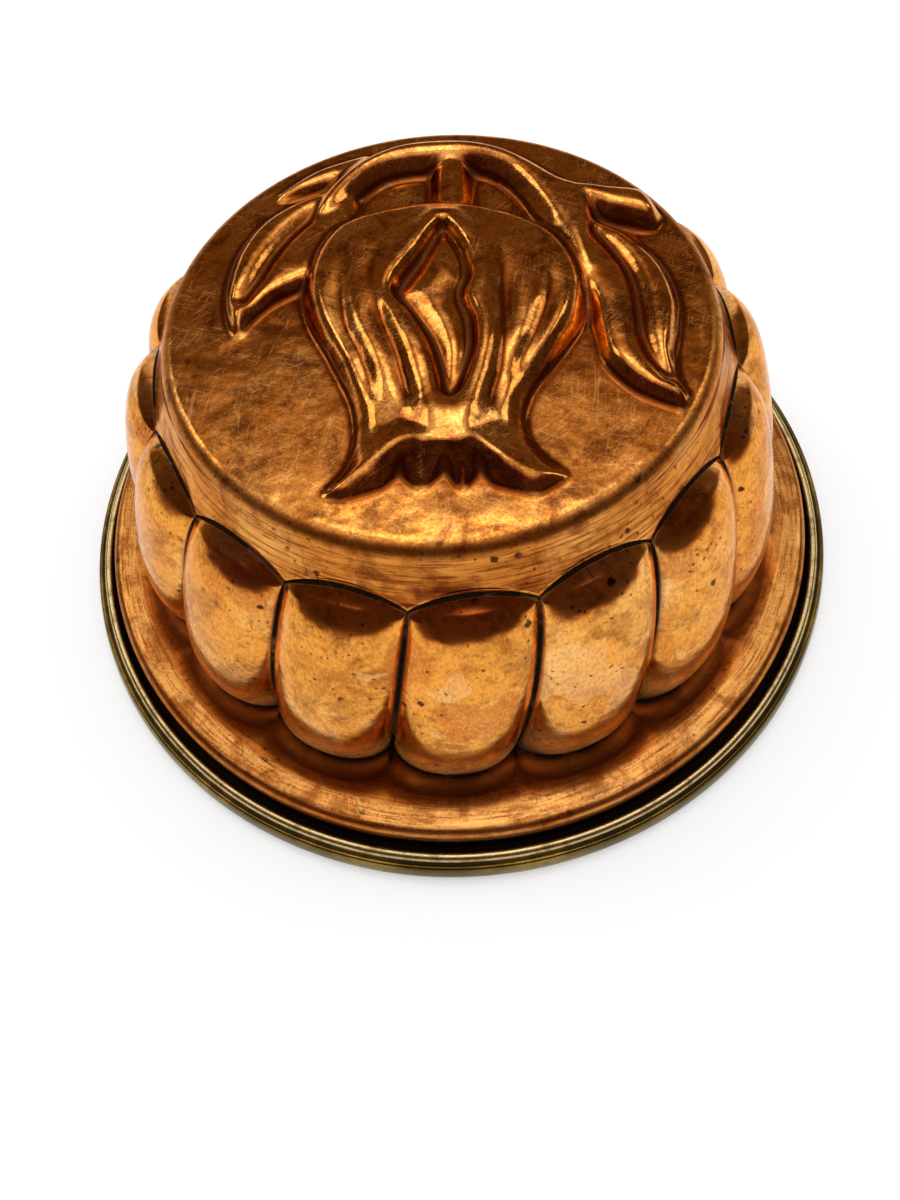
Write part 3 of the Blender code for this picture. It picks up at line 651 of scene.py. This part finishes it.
copper = {
    "crown": (0.72, 0.275, 0.046), "band": (0.60, 0.205, 0.027), "lobes": (0.84, 0.335, 0.048),
    "brim": (0.58, 0.180, 0.024), "pale": (0.96, 0.50, 0.135), "brown": (0.20, 0.040, 0.004),
    "patch": (0.98, 0.58, 0.25), "rust": (0.55, 0.145, 0.024), "lobeShade": (0.12, 0.055, 0.022),
    "grazing": (1.0, 0.84, 0.68), "scratch": (1.00, 0.66, 0.28), "spot": (0.070, 0.016, 0.004),
    "dirtAndShade": (0.020, 0.007, 0.002), "verdigris": (0.16, 0.24, 0.12),
    # radii on the brim, then heights on the lobes and the crown, between which a look fades in or out
    "crestRise": (0.0940, 0.0955), "crestFall": (0.1000, 0.1015), "dishEnds": (0.0900, 0.0945),
    "edgeEnds": (0.0130, 0.0240), "satinEnds": (0.0160, 0.0360), "greenEnds": (0.084, 0.0853),
    # degrees turned, spacing, length and width; for the cuts radians and a shift of the pattern
    "lines": [(38, 0.0012, 0.036, 0.016), (-22, 0.0013, 0.032, 0.016), (78, 0.0016, 0.036, 0.014)],
    "cuts": [(0.9, 0.0075, 0.045, 0.020, (8, 1, 0)), (-0.55, 0.0090, 0.050, 0.016, (2, 6, 0))],
    "noise": {  # a pattern's scale (the higher, the finer), detail, roughness, distortion and shift
        "broad": (34.0, 4.0, 0.62), "cloud": (95.0, 5.0, 0.68, 0.7, (3, 1, 2)),
        "mottle": (260.0, 4.0, 0.70, 0.0, (1, 9, 4)), "patch": (62.0, 2.0, 0.5, 0.0, (6, 2, 8)),
        "rust": (48.0, 3.0, 0.6, 0.0, (4, 7, 1)), "fleck": (1300.0, 2.0, 0.7), "streak": (1.0, 4.0, 0.72),
        "some": (70.0, 2.0, 0.55, 0.0, (9, 4, 6)), "fade": (120.0, 2.0, 0.55, 0.0, (2, 8, 5)),
        "green": (130.0, 3.0, 0.55, 0.0, (5, 5, 5)), "waves": (105.0, 2.0, 0.5, 0.0, (7, 3, 3))},
    "pits": (150.0, 0.10, 0.17), "smallPits": (420.0, 0.11, 0.22),  # scale, and a spot's core and edge
    "streakRadius": 0.09, "bandStreaks": (60, 1700), "brimStreaks": (75, 1500),  # scales round and across
    "swirl": {  # how finely and how far a pattern is pushed about
        "patch": (120.0, 0.006), "rust": (150.0, 0.005), "pits": (900.0, 0.0011), "lines": (16.0, 0.016)},
    "cover": {  # the noise values that a layer fades in between: the lower, the more of it
        "pale": (0.47, 0.66), "brown": (0.47, 0.66), "mottle": (0.50, 0.68), "rust": (0.53, 0.57),
        "patch": (0.585, 0.60), "grain": (0.44, 0.64), "glint": (0.28, 0.46), "pits": (0.45, 0.56),
        "lines": (0.30, 0.56), "dirtAndShade": (0.28, 0.58), "green": (0.64, 0.72)},
    "depth": {  # metres below the surroundings, in the same way
        "dirtAndShade": (0.00005, 0.00022), "nook": (0.00003, 0.00022), "hollow": (0.00005, 0.0011),
        "besideNook": (-0.00002, 0.00008), "besideHollow": (-0.0002, 0.0005)},
    "share": {  # how strongly each layer covers
        "pale": 0.45, "brown": 0.85, "mottle": 0.38, "rust": 0.52, "patch": 0.32, "grain": 0.26,
        "glint": 0.30, "lines": 0.14, "cuts": 0.70, "crest": 0.75, "hollow": 0.75, "nook": 0.9,
        "lobeShade": 0.86, "green": 0.4},
    "rough": {  # the crown and the rest, and what each layer adds
        "crown": 0.125, "rest": 0.17, "cloud": 0.22, "worn": 0.20, "corner": 0.22, "lines": 0.16,
        "grain": 0.20, "dirtAndShade": 0.45},
    "bumps": {"waves": (0.5, 0.0007), "grain": (0.12, 0.0001)},  # strength and height
}


def copperFinish():
    board = Board("copperFinish")
    swirl, cover, depth = (copper[k] for k in ("swirl", "cover", "depth"))
    share, rough, bumps = (copper[k] for k in ("share", "rough", "bumps"))
    place = board.place()

    def pattern(name, where=place):
        return board.noise(where, *copper["noise"][name])

    x, y, z = board.split(place)
    radius = (x * x + y * y) ** 0.5
    zone = board.mark("zone")  # 0 crown, 1 band, 2 lobes, 3 brim, 4 turn-down and flange
    onBand = (1 - (zone - 1).calc("ABSOLUTE")).clip()
    onSide = zone.ramp(1.2, 1.6)  # lobes and brim
    onBrim = zone.ramp(2.2, 2.8)
    onCrown = 1 - zone.ramp(0.0, 0.5)
    onLobes = onSide * (1 - onBrim)

    # clouds from pale gold to brown, patches and rust
    broad = pattern("broad")
    cloud = pattern("cloud")
    mottle = pattern("mottle")
    patch = pattern("patch", board.swirled(place, *swirl["patch"])).ramp(*cover["patch"])
    rust = pattern("rust", board.swirled(place, *swirl["rust"])).ramp(*cover["rust"])

    # grain: fine flecks on the lobes, streaks round the band, the corner and the brim
    fleck = pattern("fleck", board.mapped(place, scale=(1, 1, 0.55)))
    unit = copper["streakRadius"] / radius
    bandRound, bandAcross = copper["bandStreaks"]
    brimRound, brimAcross = copper["brimStreaks"]
    aroundBand = board.join(x * unit * bandRound, y * unit * bandRound, z * bandAcross)
    aroundBrim = board.join(x * unit * brimRound, y * unit * brimRound, radius * brimAcross)
    streak = pattern("streak", board.mix(onBrim, aroundBand, aroundBrim))
    streakShare = (onBand + 0.7 * onBrim).clip()
    grain = fleck * (1 - streakShare) + streak * streakShare

    # pits and stains with torn edges
    torn = board.swirled(place, *swirl["pits"])
    pits = board.spots(torn, *copper["pits"])
    small = board.spots(torn, *copper["smallPits"])
    some = pattern("some").ramp(*cover["pits"])
    pitted = (pits * some).high(small * 0.8 * some) * (1 - 0.5 * onCrown)

    # fine bright scratches all over, strongest on the crown, and short dark cuts on the sides
    bent = board.swirled(place, *swirl["lines"])
    for k, (turn, spacing, length, width) in enumerate(copper["lines"]):
        layer = board.hairlines(bent, radians(turn), spacing, length, width, (3.1 * k, 1.7 * k, 0))
        lines = layer.high(lines) if k else layer
    lines = lines * pattern("fade").ramp(*cover["lines"])
    arc = y.calc("ARCTAN2", x) * copper["streakRadius"]
    unrolled = board.join(arc, z + radius * onBrim * 1.5, 0.0)
    first, second = (board.scratches(unrolled, *cut) for cut in copper["cuts"])
    cuts = first.high(second)

    # painted highlight on the brim's crest; painted shade in its dish, in the hollows, beside the lobes'
    # valleys and at their feet;
    # thin dark lines in the creases, partly soiling and partly painted shade; painted shade in the crevice
    # under the brim
    ragged = radius + 0.004 * (cloud - 0.5)
    # painted highlight along the brim's crest, broken up by clouds and grain
    onCrest = ragged.ramp(*copper["crestRise"]) * (1 - radius.ramp(*copper["crestFall"])) * onBrim
    crest = onCrest * (1 - 0.8 * cloud.ramp(0.46, 0.60)) * (1 - grain.ramp(0.42, 0.62))
    dish = (1 - radius.ramp(*copper["dishEnds"])) * onBrim
    nook = board.mark("nook")
    hollow = board.mark("hollow")
    # painted shade: brown laid in the hollows and in the brim's dish
    deep = hollow.ramp(*depth["hollow"]).high(dish * 0.85)
    # painted shade beside the valleys and nooks, and low on the lobes near the brim
    beside = nook.ramp(*depth["besideNook"]).high(hollow.ramp(*depth["besideHollow"]) * 0.85)
    edge = beside.high(1 - z.ramp(*copper["edgeEnds"]))
    fineCavity = board.mark("fineCavity") * (1 + 1.8 * onLobes)
    crease = (fineCavity.ramp(*depth["dirtAndShade"]) * (1.7 * cloud.ramp(*cover["dirtAndShade"]))).clip()
    # the crevice under the brim is laid dark as painted shade; in the creases the darkening is soiling and
    # painted shade
    dirtAndShade = (crease * (1 - 0.45 * onCrown)).high(zone.ramp(3.55, 3.95))
    green = crease * z.ramp(*copper["greenEnds"]) * pattern("green").ramp(*cover["green"])

    sides = board.mix(onSide, colour(*copper["band"]), colour(*copper["lobes"]))
    tone = painted(board, sides, copper, [  # from the bare metal up
        (onBrim, "brim"),
        (onCrown, "crown"),
        (broad.ramp(*cover["pale"]) * (share["pale"] + 0.20 * onSide) * (1 - 0.5 * onBrim), "pale"),
        (cloud.ramp(*cover["brown"]) * (share["brown"] - 0.30 * onSide), "brown"),
        (mottle.ramp(*cover["mottle"]) * (share["mottle"] + 0.10 * onSide), "brown"),
        (rust * onSide * (share["rust"] - 0.2 * onBrim), "rust"),
        (patch * onSide * (share["patch"] - 0.2 * onBrim), "patch"),
        (grain.ramp(*cover["grain"]) * (share["grain"] + 0.14 * onCrown + 0.64 * onBand + 0.35 * onBrim),
         "brown"),
        # pale flecks in the grain: painted glints
        ((1 - grain.ramp(*cover["glint"])) * share["glint"], "pale"),
        (pitted, "spot"),
        (lines * (0.05 + share["lines"] * onCrown), "scratch"),
        (cuts * (1 - onCrown) * share["cuts"], "spot"),
        # painted highlight on the brim's crest
        (crest * share["crest"], "pale"),
        # painted shade: brown in the hollows, the nooks and the brim's dish
        ((deep * share["hollow"]).high(nook.ramp(*depth["nook"]) * share["nook"]), "brown"),
        # painted shade beside the lobes' valleys and at their feet
        (edge * onLobes * (share["lobeShade"] + 0.6 * (cloud - 0.4)).clip(), "lobeShade"),
        # dark creases (soiling and painted shade), and painted shade in the crevice under the brim
        (dirtAndShade, "dirtAndShade"),
        (green * share["green"], "verdigris"),
    ])

    worn = (1 - z.ramp(*copper["satinEnds"])).high(edge) * onLobes  # satin, not mirror bright
    corner = zone.ramp(0.0, 0.35) * (1 - zone.ramp(0.7, 1.0))
    matt = (rough["rest"] + (rough["crown"] - rough["rest"]) * onCrown + rough["cloud"] * (cloud - 0.5)
            + rough["worn"] * worn.high(onBrim) + rough["corner"] * corner + rough["lines"] * lines * onCrown
            + rough["grain"] * (grain - 0.5) + rough["dirtAndShade"] * dirtAndShade)
    waves = pattern("waves")
    relief = board.bump(grain, *bumps["grain"], board.bump(waves, *bumps["waves"]))
    return board.finish(Base_Color=tone, Metallic=1 - 0.25 * dirtAndShade - 0.40 * worn * (1 - dirtAndShade),
                        Roughness=matt.clip(), Specular_Tint=colour(*copper["grazing"]), Normal=relief)


tin = {
    "pale": (0.60, 0.58, 0.54), "grey": (0.44, 0.42, 0.39), "dirtAndShade": (0.16, 0.14, 0.12),
    "bare": (0.62, 0.30, 0.14),  # copper that shows through
    "broad": (22.0, 4.0, 0.6), "cloud": (90.0, 5.0, 0.65, 0.5, (2, 4, 1)), "worn": (14.0, 3.0),  # noises
    "dirtAndShadeShare": 0.6, "bareShare": 0.7,
    "wipes": (1.0, 0.0016, 0.030, 0.06, (5, 0, 0)), "wipeSwirl": (20.0, 0.012), "bump": (0.2, 0.0002),
    "rough": 0.32, "cloudRough": 0.18, "wipeRough": 0.08,
}


def tinFinish():
    board = Board("tinFinish")
    place = board.place()
    broad = board.noise(place, *tin["broad"])
    cloud = board.noise(place, *tin["cloud"])
    bare = cloud.ramp(0.62, 0.72) * board.noise(place, *tin["worn"]).ramp(0.45, 0.6)
    tone = painted(board, colour(*tin["pale"]), tin, [
        (broad.ramp(0.3, 0.7), "grey"),
        # darker in the lining's hollows: soiling and painted shade
        (board.mark("fineCavity").ramp(0.00004, 0.0003) * tin["dirtAndShadeShare"], "dirtAndShade"),
        (bare * tin["bareShare"], "bare"),
    ])
    wipes = board.hairlines(board.swirled(place, *tin["wipeSwirl"]), *tin["wipes"])
    relief = board.bump(cloud * 0.6 + wipes * 0.4, *tin["bump"])
    matt = tin["rough"] + tin["cloudRough"] * cloud + tin["wipeRough"] * wipes
    return board.finish(Base_Color=tone, Metallic=1.0, Roughness=matt, Normal=relief)


sheetMesh = joinSheet()
print("sheet made:", len(sheetMesh.vertices), "points")
for name, rounds in sheet["marks"].items():
    addMark(sheetMesh, name, cavity(sheetMesh, rounds))
copperSheet = placed("copperSheet", sheetMesh)
sheetMesh.materials.append(copperFinish())
sheetMesh.materials.append(tinFinish())
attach(copperSheet, "root")
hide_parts("mould_shell")
print("copper sheet finished")


# The brass hoop: its section swept round a circle by Geometry Nodes
hoop = {"radius": 0.1099, "width": 5.5, "steps": 480, "dent": 0.0002, "dentSize": 30.0, "seed": 3.0,
        "sharpAngle": 60, "fineCavityRounds": 3}
hoopSection = [  # outside: share of the width, and height in mm, like the width
    (0.09, 0.05), (0.80, 0.05), (0.90, 0.15), (0.965, 0.7), (0.995, 1.5), (0.995, 2.2), (0.965, 3.0),
    (0.905, 4.1), (0.875, 4.55), (0.85, 4.8), (0.79, 5.35), (0.73, 5.5), (0.67, 5.45), (0.62, 5.25),
    (0.585, 5.05), (0.545, 5.2), (0.50, 5.7), (0.43, 6.35), (0.34, 6.8), (0.23, 6.92), (0.12, 6.75),
    (0.04, 6.3), (0.0, 5.6), (0.0, 4.5), (0.0, 2.5)]
hoopInside = [
    (0.145, 2.5), (0.145, 4.9), (0.17, 5.0), (0.64, 5.0), (0.70, 4.7), (0.84, 2.2), (0.83, 1.2),
    (0.78, 0.9), (0.09, 0.8)]


def newTree(name, inputs):
    tree = bpy.data.node_groups.new(name, "GeometryNodeTree")
    tree.interface.new_socket("Geometry", in_out="INPUT", socket_type="NodeSocketGeometry")
    tree.interface.new_socket("Geometry", in_out="OUTPUT", socket_type="NodeSocketGeometry")
    for label, kind, value in inputs:
        socket = tree.interface.new_socket(label, in_out="INPUT", socket_type=kind)
        if value is not None:
            socket.default_value = value
    return tree


def sweepTree():
    # Sweeps the section curve round the rim, with slight dents, and gives it its material.
    tree = newTree("rimSweep", [
        ("Radius", "NodeSocketFloat", 0.1), ("Steps", "NodeSocketInt", 64),
        ("Section", "NodeSocketObject", None), ("Dent", "NodeSocketFloat", 0.0),
        ("Dent Size", "NodeSocketFloat", 40.0), ("Seed", "NodeSocketFloat", 1.0),
        ("Finish", "NodeSocketMaterial", None)])
    given = tree.nodes.new("NodeGroupInput").outputs

    def made(kind, inputs, output=0, **settings):
        return addNode(tree, kind, inputs, **settings).outputs[output]

    circle = made("GeometryNodeCurvePrimitiveCircle",
                  {"Resolution": given["Steps"], "Radius": given["Radius"]}, mode="RADIUS")
    section = made("GeometryNodeObjectInfo", {"Object": given["Section"]}, "Geometry",
                   transform_space="ORIGINAL")
    sweep = made("GeometryNodeCurveToMesh", {"Curve": circle, "Profile Curve": section})
    place = made("GeometryNodeInputPosition", {})
    noise = made("ShaderNodeTexNoise", {"Vector": place, "W": given["Seed"], "Scale": given["Dent Size"],
                                        "Detail": 2.0}, "Color", noise_dimensions="4D")
    centred = made("ShaderNodeVectorMath", {0: noise, 1: (0.5, 0.5, 0.5)}, operation="SUBTRACT")
    offset = made("ShaderNodeVectorMath", {0: centred, "Scale": given["Dent"]}, operation="SCALE")
    flatOffset = made("ShaderNodeVectorMath", {0: offset, 1: (1.0, 1.0, 0.35)}, operation="MULTIPLY")
    moved = made("GeometryNodeSetPosition", {"Geometry": sweep, "Offset": flatOffset})
    real = made("GeometryNodeRealizeInstances", {"Geometry": moved})
    finish = made("GeometryNodeSetMaterial", {"Geometry": real, "Material": given["Finish"]})
    addNode(tree, "NodeGroupOutput", {"Geometry": finish})
    return tree


def sectionCurve(name, points):  # a closed flat curve from points outwards and upwards, in mm
    data = bpy.data.curves.new(name, "CURVE")
    data.dimensions = "2D"
    spline = data.splines.new("POLY")
    spline.points.add(len(points) - 1)
    for point, (x, y) in zip(spline.points, points):
        point.co = (x / 1000, -y / 1000, 0, 1)  # the sweep lays the curve's y axis downwards
    spline.use_cyclic_u = True
    return placed(name, data)


def sweptPiece(name, tree, piece, section, finish):
    values = {"Radius": piece["radius"], "Steps": piece["steps"], "Section": section, "Dent": piece["dent"],
              "Dent Size": piece["dentSize"], "Seed": piece["seed"], "Finish": finish}
    carrier = placed(name + "Carrier", bpy.data.meshes.new(name + "Carrier"))
    modifier = carrier.modifiers.new("sweep", "NODES")
    modifier.node_group = tree
    for item in tree.interface.items_tree:
        if item.item_type == "SOCKET" and item.in_out == "INPUT" and item.name in values:
            modifier[item.identifier] = values[item.name]
    bpy.context.view_layer.update()
    evaluated = carrier.evaluated_get(bpy.context.evaluated_depsgraph_get())
    mesh = bpy.data.meshes.new_from_object(evaluated)
    mesh.name = name
    bpy.data.objects.remove(carrier)
    bpy.data.objects.remove(section)
    bm = bmesh.new()
    bm.from_mesh(mesh)
    bmesh.ops.recalc_face_normals(bm, faces=bm.faces)
    for face in bm.faces:
        face.smooth = True
    bm.to_mesh(mesh)
    bm.free()
    mesh.set_sharp_from_angle(angle=radians(piece["sharpAngle"]))
    return placed(name, mesh)


brass = {
    "gold": (0.34, 0.23, 0.050), "brown": (0.10, 0.062, 0.012), "dull": (0.12, 0.075, 0.02),
    "streak": (0.07, 0.045, 0.012), "under": (0.09, 0.065, 0.018), "bead": (0.86, 0.70, 0.34),
    "dirtAndShade": (0.03, 0.020, 0.006), "underEnds": (0.0040, 0.0054), "beadEnds": (0.0056, 0.0062),  # heights
    "broad": (30.0, 4.0, 0.6), "cloud": (210.0, 5.0, 0.66, 0.0, (1, 6, 2)),  # noises
    "rolled": (1.0, 4.0, 0.7), "streaks": (60, 1600),  # scales round and across
    "share": {"dull": 0.55, "streak": 0.15, "under": 0.45, "bead": 0.75, "dirtAndShade": 0.9},
    "lines": [(0.2, 0.0007, 0.012, 0.05, (2, 2, 5)), (1.7, 0.0007, 0.012, 0.05, (2, 9, 5))],
    "rough": 0.20, "cloudRough": 0.16, "dirtAndShadeRough": 0.35, "bump": (0.2, 0.0001),
}


def brassFinish():
    board = Board("brassFinish")
    share = brass["share"]
    place = board.place()
    x, y, z = board.split(place)
    broad = board.noise(place, *brass["broad"])
    around, across = brass["streaks"]
    streak = board.noise(board.join(x * around, y * around, z * across), *brass["rolled"])
    cloud = board.noise(place, *brass["cloud"])
    # painted highlight: the hoop's top is laid pale gold, broken up by clouds
    bead = z.ramp(*brass["beadEnds"]) * (1 - cloud.ramp(0.50, 0.66) * 0.6)
    # darker in the hoop's grooves: soiling and painted shade
    dirtAndShade = (board.mark("fineCavity").ramp(0.00003, 0.00010) * (0.5 + 0.8 * cloud)).clip()
    tone = painted(board, colour(*brass["gold"]), brass, [
        (broad.ramp(0.40, 0.60), "brown"),
        (cloud.ramp(0.42, 0.62) * share["dull"], "dull"),
        (streak.ramp(0.50, 0.66) * share["streak"], "streak"),
        # painted shade: darker towards the hoop's bottom
        ((1 - z.ramp(*brass["underEnds"])) * share["under"], "under"),
        # painted highlight on the hoop's top
        (bead * share["bead"], "bead"),
        (dirtAndShade * share["dirtAndShade"], "dirtAndShade"),
    ])
    one, other = (board.hairlines(place, *line) for line in brass["lines"])
    relief = board.bump(one.high(other) * 0.4 + cloud * 0.6, *brass["bump"])
    matt = (brass["rough"] + brass["cloudRough"] * cloud + brass["dirtAndShadeRough"] * dirtAndShade).clip()
    return board.finish(Base_Color=tone, Metallic=1 - 0.6 * dirtAndShade, Roughness=matt, Normal=relief)


def greyFinish(name, piece):
    board = Board(name)
    cloud = board.noise(board.place(), *piece["cloud"])
    tone = board.mix(cloud.ramp(0.35, 0.68), colour(*piece["light"]), colour(*piece["dark"]))
    return board.finish(Base_Color=tone, Metallic=1.0, Roughness=piece["rough"] + 0.2 * cloud,
                        Normal=board.bump(cloud, *piece["bump"]))


rimSweep = sweepTree()
hoopCurve = sectionCurve("hoopSection", [((x - 1) * hoop["width"], z) for x, z in hoopSection + hoopInside])
brassHoop = sweptPiece("brassHoop", rimSweep, hoop, hoopCurve, brassFinish())
addMark(brassHoop.data, "fineCavity", cavity(brassHoop.data, hoop["fineCavityRounds"]))
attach(brassHoop, "root")
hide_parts("rim_hoop")
print("brass hoop finished:", len(brassHoop.data.polygons), "faces")


# The solder run under the flange, and the wire inside the hoop
solder = {"radius": 0.10470, "steps": 720, "dent": 0.0004, "dentSize": 260.0, "seed": 8.0, "sharpAngle": 50,
          "light": (0.62, 0.61, 0.58), "dark": (0.36, 0.35, 0.33), "rough": 0.35, "cloud": (240.0, 4.0, 0.6),
          "bump": (0.3, 0.0002)}
solderSection = [  # in mm
    (0.0, 0.1), (0.0, 0.8), (-1.3, 0.8), (-1.2, 0.68), (-0.9, 0.5), (-0.5, 0.25)]
wire = {"light": (0.30, 0.29, 0.28), "dark": (0.16, 0.12, 0.09), "rough": 0.5, "cloud": (240.0, 4.0, 0.6),
        "bump": (0.3, 0.0002)}

solderCurve = sectionCurve("solderSection", solderSection)
solderRun = sweptPiece("solderRun", rimSweep, solder, solderCurve, greyFinish("solderFinish", solder))
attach(solderRun, "root")
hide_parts("rim_solder")

wireFinish = greyFinish("wireFinish", wire)
for slot in nodes["rim_wire"].material_slots:
    slot.material = wireFinish
print("solder and wire finished")


# Studio: pale floor, a canopy that the metal mirrors, a white world, and soft lamps
studio = {
    "floor": (0.80, 0.80, 0.80), "lift": 0.19, "floorHalf": 6.0, "floorDrop": 0.0003,
    "span": 2.6, "dim": 0.065, "dimFar": 0.155, "tintNear": (1.0, 0.36, 0.26), "tintFar": (1.0, 0.55, 0.23),
    "skirt": 0.95, "skirtFade": (1.0, 10.0),  # degrees above the horizon
    "top": 1.0, "topTilt": 9.0, "topTurn": -2.0, "topFade": (18.0, 40.5),  # degrees from the zenith
    "canopySides": 64, "canopyRings": 24, "canopyTop": 89.5,
}


def seenWhite(board):  # 1 for the rays that show the background: camera, metal and glass
    camera, metal, glass = (board.add("ShaderNodeLightPath", {}, "Is %s Ray" % kind)
                            for kind in ("Camera", "Glossy", "Transmission"))
    return camera.high(metal).high(glass)


def makeFloor():
    board = Board("floorFinish")
    board.finish(Base_Color=colour(*studio["floor"]), Roughness=0.9,
                 Emission_Color=board.mix(seenWhite(board), colour(0, 0, 0), colour(1, 1, 1)),
                 Emission_Strength=studio["lift"])
    mesh = bpy.data.meshes.new("floor")
    half = studio["floorHalf"]
    low = cadBox[0][2] - studio["floorDrop"]
    mesh.from_pydata([(-half, -half, low), (half, -half, low), (half, half, low), (-half, half, low)], [],
                     [(0, 1, 2, 3)])
    mesh.materials.append(board.material)
    floor = placed("floor", mesh)


def makeCeiling():
    # A canopy that only the metal sees: pale at the horizon and overhead, dim and warm between.
    board = Board("ceilingFinish")
    span = studio["span"]
    x, y, z = board.split(board.mapped(board.place(), scale=[1 / span] * 3))
    skirt = 1 - z.ramp(*(sin(radians(a)) for a in studio["skirtFade"]))
    tilt = radians(studio["topTilt"])
    turn = radians(studio["topTurn"])
    inner, outer = (cos(radians(a)) for a in studio["topFade"])
    top = (x * sin(turn) + y * sin(tilt) + z * cos(tilt) * cos(turn)).ramp(outer, inner)
    dim = studio["dim"] + (studio["dimFar"] - studio["dim"]) * y.ramp(-0.1, 0.8)
    lit = (skirt * studio["skirt"]).high(top * studio["top"])
    tint = board.mix(y.ramp(-0.3, 0.3), colour(*studio["tintNear"]), colour(*studio["tintFar"]))
    hue = board.mix((lit * lit).clip(), tint, colour(1, 1, 1))
    light = board.add("ShaderNodeVectorMath", {0: hue, "Scale": dim.high(lit)}, operation="SCALE")
    board.finish(Base_Color=colour(0, 0, 0), Roughness=1.0, Emission_Color=light, Emission_Strength=1.0)

    around = np.linspace(0, 2 * pi, studio["canopySides"], endpoint=False)
    heights = np.radians(np.linspace(studio["skirtFade"][0], studio["canopyTop"], studio["canopyRings"]))
    bm = bmesh.new()
    rings = [[bm.verts.new((span * cos(e) * cos(a), span * cos(e) * sin(a),
                            span * sin(e))) for a in around] for e in heights]
    for lower, upper in zip(rings[:-1], rings[1:]):
        for i in range(len(lower)):
            bm.faces.new((lower[i - 1], upper[i - 1], upper[i], lower[i]))
    bm.faces.new(rings[-1])
    mesh = bpy.data.meshes.new("ceiling")
    bm.to_mesh(mesh)
    bm.free()
    mesh.materials.append(board.material)
    ceiling = placed("ceiling", mesh)
    for kind in ("camera", "diffuse", "shadow", "transmission"):
        setattr(ceiling, "visible_" + kind, False)


def makeWorld():
    world = bpy.data.worlds.new("studioWorld")
    bpy.context.scene.world = world
    world.use_nodes = True
    background = world.node_tree.nodes["Background"]
    background.inputs["Color"].default_value = colour(1, 1, 1)
    background.inputs["Strength"].default_value = 1.0
    world.cycles.sampling_method = "NONE"


lamps = {  # degrees round and up, distance, width, height, brightness
    "backSoftbox": (92, 69, 1.15, 0.50, 0.26, 1.9),
    "topSoftbox": (80, 84, 1.15, 0.34, 0.22, 1.9),
    "leftSoftbox": (150, 44, 1.15, 0.30, 0.34, 2.6),
    "rightSoftbox": (32, 44, 1.15, 0.26, 0.34, 2.0),
}


def makeLamps():
    for name, (around, up, away, wide, tall, bright) in lamps.items():
        data = bpy.data.lights.new(name, "AREA")
        data.shape = "RECTANGLE"
        data.size = wide
        data.size_y = tall
        data.energy = bright * pi * wide * tall
        lamp = placed(name, data)
        a = radians(around)
        e = radians(up)
        ahead = Vector((cos(e) * cos(a), cos(e) * sin(a), sin(e)))
        lamp.location = ahead * away
        lamp.rotation_euler = ahead.to_track_quat("Z", "Y").to_euler()


makeFloor()
makeCeiling()
makeWorld()
makeLamps()
bpy.context.scene.view_settings.view_transform = "Standard"
print("studio ready")
